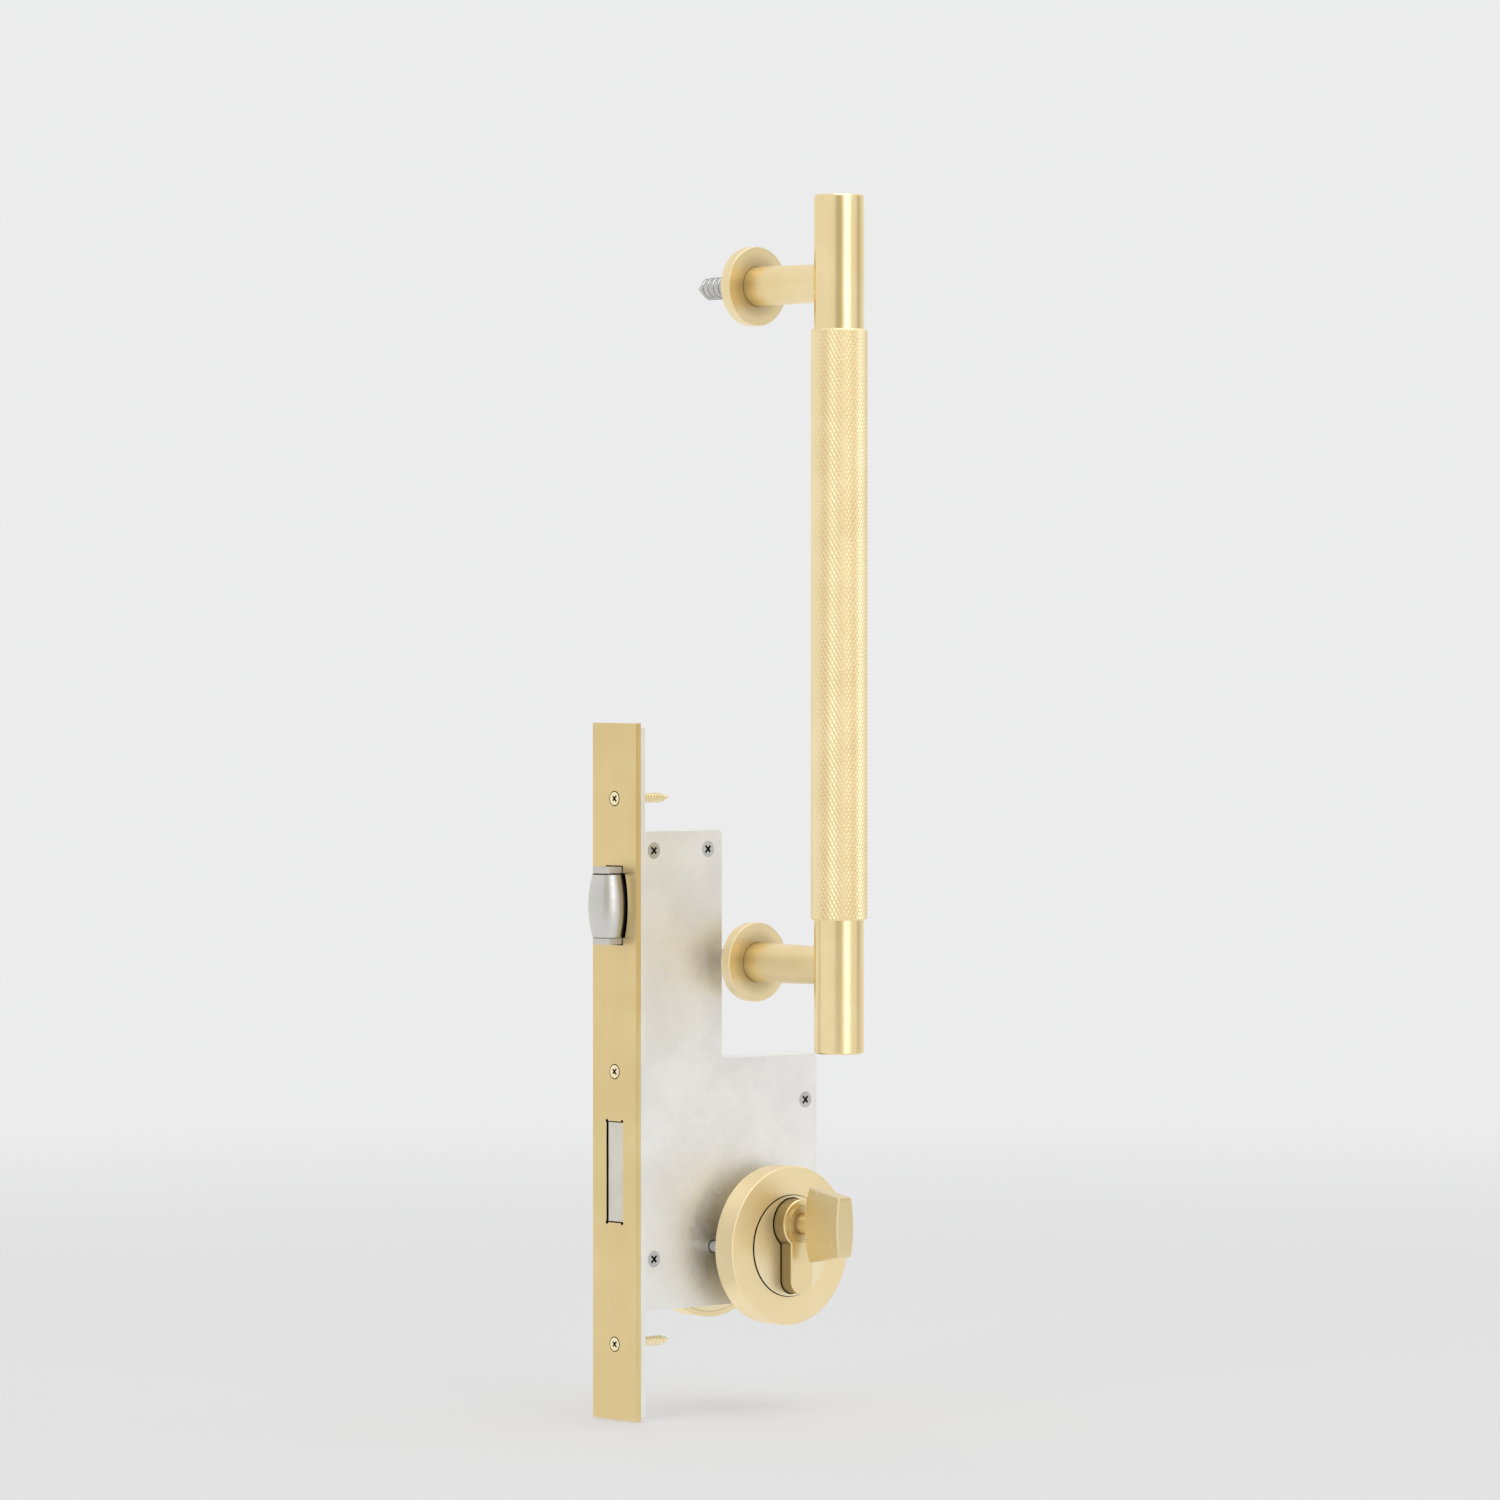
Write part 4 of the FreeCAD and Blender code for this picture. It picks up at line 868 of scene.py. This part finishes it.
def knurlGrip(values):
    low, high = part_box("grip_tube")
    centre = (low + high) / 2
    radius = (high.x - low.x) / 2
    halfLength = (high.z - low.z) / 2
    count = values["around"]
    rows = values["rows"]
    flat = values["flatTop"]
    deep = radius - values["grooveDepth"]
    knurlHalf = halfLength - values["endChamfer"]
    points = []
    faces = []

    def point(step, row, reach):
        turn = step * math.pi / count
        z = -knurlHalf + 2 * knurlHalf * row / rows
        x = centre.x + reach * math.cos(turn)
        y = centre.y + reach * math.sin(turn)
        points.append((x, y, centre.z + z))
        return len(points) - 1

    cross = {}
    for row in range(rows + 1):
        for step in range(row % 2, 2 * count, 2):
            cross[step, row] = point(step, row, deep)
    ends = {0: [], rows: []}
    for row in range(rows + 1):
        for step in range(1 - row % 2, 2 * count, 2):
            left = cross[(step - 1) % (2 * count), row]
            right = cross[(step + 1) % (2 * count), row]
            topLeft = point(step - flat, row, radius)
            topRight = point(step + flat, row, radius)
            if row > 0:
                down = cross[step, row - 1]
                topDown = point(step, row - flat, radius)
                faces.append((left, down, topDown, topLeft))
                faces.append((down, right, topRight, topDown))
            if row < rows:
                up = cross[step, row + 1]
                topUp = point(step, row + flat, radius)
                faces.append((right, up, topUp, topRight))
                faces.append((up, left, topLeft, topUp))
            if row == 0:
                faces.append((topLeft, topRight, topUp))
            elif row == rows:
                faces.append((topLeft, topDown, topRight))
            else:
                faces.append((topLeft, topDown, topRight, topUp))
            if row in ends:
                ends[row] += [(left, step - 1), (topLeft, step - flat), (topRight, step + flat)]

    bores = []
    for row, side in ((0, -1), (rows, 1)):
        edge = ends[row]
        rings = []
        for reach in (radius - values["endChamfer"], values["boreRadius"]):
            ring = []
            for _, step in edge:
                turn = step * math.pi / count
                points.append((
                    centre.x + reach * math.cos(turn),
                    centre.y + reach * math.sin(turn),
                    centre.z + side * halfLength,
                ))
                ring.append(len(points) - 1)
            rings.append(ring)
        loops = [[index for index, _ in edge]] + rings
        for outer, inner in zip(loops, loops[1:]):
            for k in range(len(outer)):
                n = (k + 1) % len(outer)
                faces.append((outer[k], outer[n], inner[n], inner[k]))
        bores.append(rings[1])
    for k in range(len(bores[0])):
        n = (k + 1) % len(bores[0])
        faces.append((bores[0][k], bores[0][n], bores[1][n], bores[1][k]))
    material = plainFinish["knurlBrass"]
    return addPiece("knurledGrip", points, faces, "lock_body", material)


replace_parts(knurlGrip(grip), "grip_tube")
print("grip knurled")


# latch spring: a copy of the CAD spring, carried by the lock body in place of the CAD part
latchSpring = {"node": "roller_spring", "joint": "roller_push", "travel": 0.008}


def pressSpring(values):
    source = nodes[values["node"]]
    piece = bpy.data.objects.new("latchSpring", source.data.copy())
    piece.matrix_world = source.matrix_world
    bpy.context.scene.collection.objects.link(piece)
    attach(piece, "lock_body")
    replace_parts(piece, values["node"])
    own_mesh(piece)


pressSpring(latchSpring)


# screw threads, as ridges wound round the plain shanks, each run measured back from the tip
threads = {
    "woodScrewThread": {
        "node": "faceplate_wood_screws", "along": 0, "apart": 2, "headRadius": 0.0023,
        "core": 0.00128, "crest": 0.00172, "pitch": 0.0014, "run": (0.0006, 0.0180),
        "taper": 0.0039, "slot": "brass_screw", "finish": "screwBrass",
    },
    "studThread": {
        "node": "door_studs", "along": 1, "apart": 2, "headRadius": 0.0040,
        "core": 0.00325, "crest": 0.00398, "pitch": 0.0026, "run": (0.0012, 0.0248),
        "taper": 0.0050, "slot": "fixing_steel", "finish": "zincSteel",
    },
    "roseBoltThread": {
        "node": "rose_bolts", "along": 1, "apart": 0, "headRadius": 0.0034,
        "core": 0.00198, "crest": 0.00208, "pitch": 0.0007, "run": (0.0006, 0.0220),
        "taper": 0.0, "slot": "fixing_steel", "finish": "zincSteel",
    },
}


ridge = {  # steps a turn, depth of the root in the shank, half width, and the thinnest point
    "steps": 20,
    "rooted": 0.96,
    "flank": 0.25,
    "slimmest": 0.25,
}


def tipsOf(values):  # where the two screws of a node end
    low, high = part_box(values["node"])
    tips = []
    for edge, side in ((low, 1), (high, -1)):
        tip = (low + high) / 2
        tip[values["along"]] = high[values["along"]]
        tip[values["apart"]] = edge[values["apart"]] + side * values["headRadius"]
        tips.append(tip)
    return tips


def windThread(name, values):
    points = []
    faces = []
    steps = ridge["steps"]
    flank = ridge["flank"]
    begin, finish = values["run"]
    pitch = values["pitch"]
    count = int((finish - begin) / pitch * steps)
    backwards = Vector((0, 0, 0))
    backwards[values["along"]] = -1
    turnTo = Vector((0, 0, 1)).rotation_difference(backwards).to_matrix()
    for tip in tipsOf(values):
        first = len(points)
        for k in range(count + 1):
            along = begin + pitch * k / steps
            turn = 2 * math.pi * k / steps
            share = min(1.0, k / steps, (count - k) / steps)
            slim = 1.0
            if along < values["taper"]:
                slim = max(ridge["slimmest"], along / values["taper"])
            core = values["core"] * slim
            crest = core + (values["crest"] - values["core"]) * share
            root = core * ridge["rooted"]
            for reach, shift in ((root, -flank), (crest, 0.0), (root, flank)):
                x = reach * math.cos(turn)
                y = reach * math.sin(turn)
                spot = Vector((x, y, along + shift * pitch))
                points.append(tuple(tip + turnTo @ spot))
        for k in range(count):
            a = first + 3 * k
            faces += [
                (a, a + 1, a + 4, a + 3),
                (a + 1, a + 2, a + 5, a + 4),
                (a + 2, a, a + 3, a + 5),
            ]
        last = first + 3 * count
        faces += [(first, first + 2, first + 1), (last, last + 1, last + 2)]
    material = plainFinish[values["finish"]]
    return addPiece(name, points, faces, "lock_body", material, smooth=True)


for threadName, threadValues in threads.items():
    windThread(threadName, threadValues)
print("threads wound")


# floor, faded out towards its rim so that no edge shows
floor = {
    "radius": 1.6,
    "sides": 96,
    "rough": 0.9,
    "fibre": 220.0,
    "relief": 0.05,
    "fade": (0.5, 1.55),
    "colour": (0.86, 0.86, 0.865, 1.0),
    "inMetal": (0.93, 0.93, 0.92, 1.0),
    "evened": 0.40,
    "gap": 0.0004,
}


def layFloor(values):
    mesh = bpy.data.meshes.new("floor")
    points = [(0, 0, 0)]
    count = values["sides"]
    for k in range(count):
        turn = 2 * math.pi * k / count
        points.append((values["radius"] * math.cos(turn), values["radius"] * math.sin(turn), 0))
    mesh.from_pydata(points, [], [(0, k + 1, (k + 1) % count + 1) for k in range(count)])
    piece = bpy.data.objects.new("floor", mesh)
    piece.location = (0, 0, cadBox[0].z - values["gap"])
    bpy.context.scene.collection.objects.link(piece)
    material = bpy.data.materials.new("floorPaper")
    material.use_nodes = True
    tree = material.node_tree
    tree.nodes.clear()
    coords = addNode(tree, "ShaderNodeTexCoord")
    away = addNode(
        tree, "ShaderNodeVectorMath", {0: coords.outputs["Object"]}, operation="LENGTH"
    )
    fade = addNode(
        tree,
        "ShaderNodeMapRange",
        {
            "Value": away.outputs["Value"],
            "From Min": values["fade"][0],
            "From Max": values["fade"][1],
            "To Min": 1.0,
            "To Max": 0.0,
        },
        interpolation_type="SMOOTHSTEP",
    )
    fibre = addNode(
        tree,
        "ShaderNodeTexNoise",
        {"Vector": coords.outputs["Object"], "Scale": values["fibre"], "Detail": 3.0},
    )
    bump = addNode(
        tree, "ShaderNodeBump", {"Height": fibre.outputs[0], "Strength": values["relief"]}
    )
    shader = addNode(
        tree,
        "ShaderNodeBsdfPrincipled",
        {
            "Base Color": values["colour"],
            "Roughness": values["rough"],
            "Normal": bump.outputs[0],
        },
    )
    rays = addNode(tree, "ShaderNodeLightPath")
    clear = addNode(tree, "ShaderNodeBsdfTransparent")
    even = addNode(tree, "ShaderNodeEmission", {"Color": room["background"]})
    part = addNode(
        tree,
        "ShaderNodeMath",
        {0: rays.outputs["Is Camera Ray"], 1: values["evened"]},
        operation="MULTIPLY",
    )
    pale = addNode(
        tree,
        "ShaderNodeMixShader",
        {0: part.outputs[0], 1: shader.outputs[0], 2: even.outputs[0]},
    )
    seen = addNode(
        tree, "ShaderNodeMixShader", {0: fade.outputs[0], 1: clear.outputs[0], 2: pale.outputs[0]}
    )
    plain = addNode(tree, "ShaderNodeEmission", {"Color": values["inMetal"]})
    shown = addNode(
        tree,
        "ShaderNodeMixShader",
        {0: rays.outputs["Is Glossy Ray"], 1: seen.outputs[0], 2: plain.outputs[0]},
    )
    addNode(tree, "ShaderNodeOutputMaterial", {"Surface": shown.outputs[0]})
    mesh.materials.append(material)


layFloor(floor)
print("floor laid")
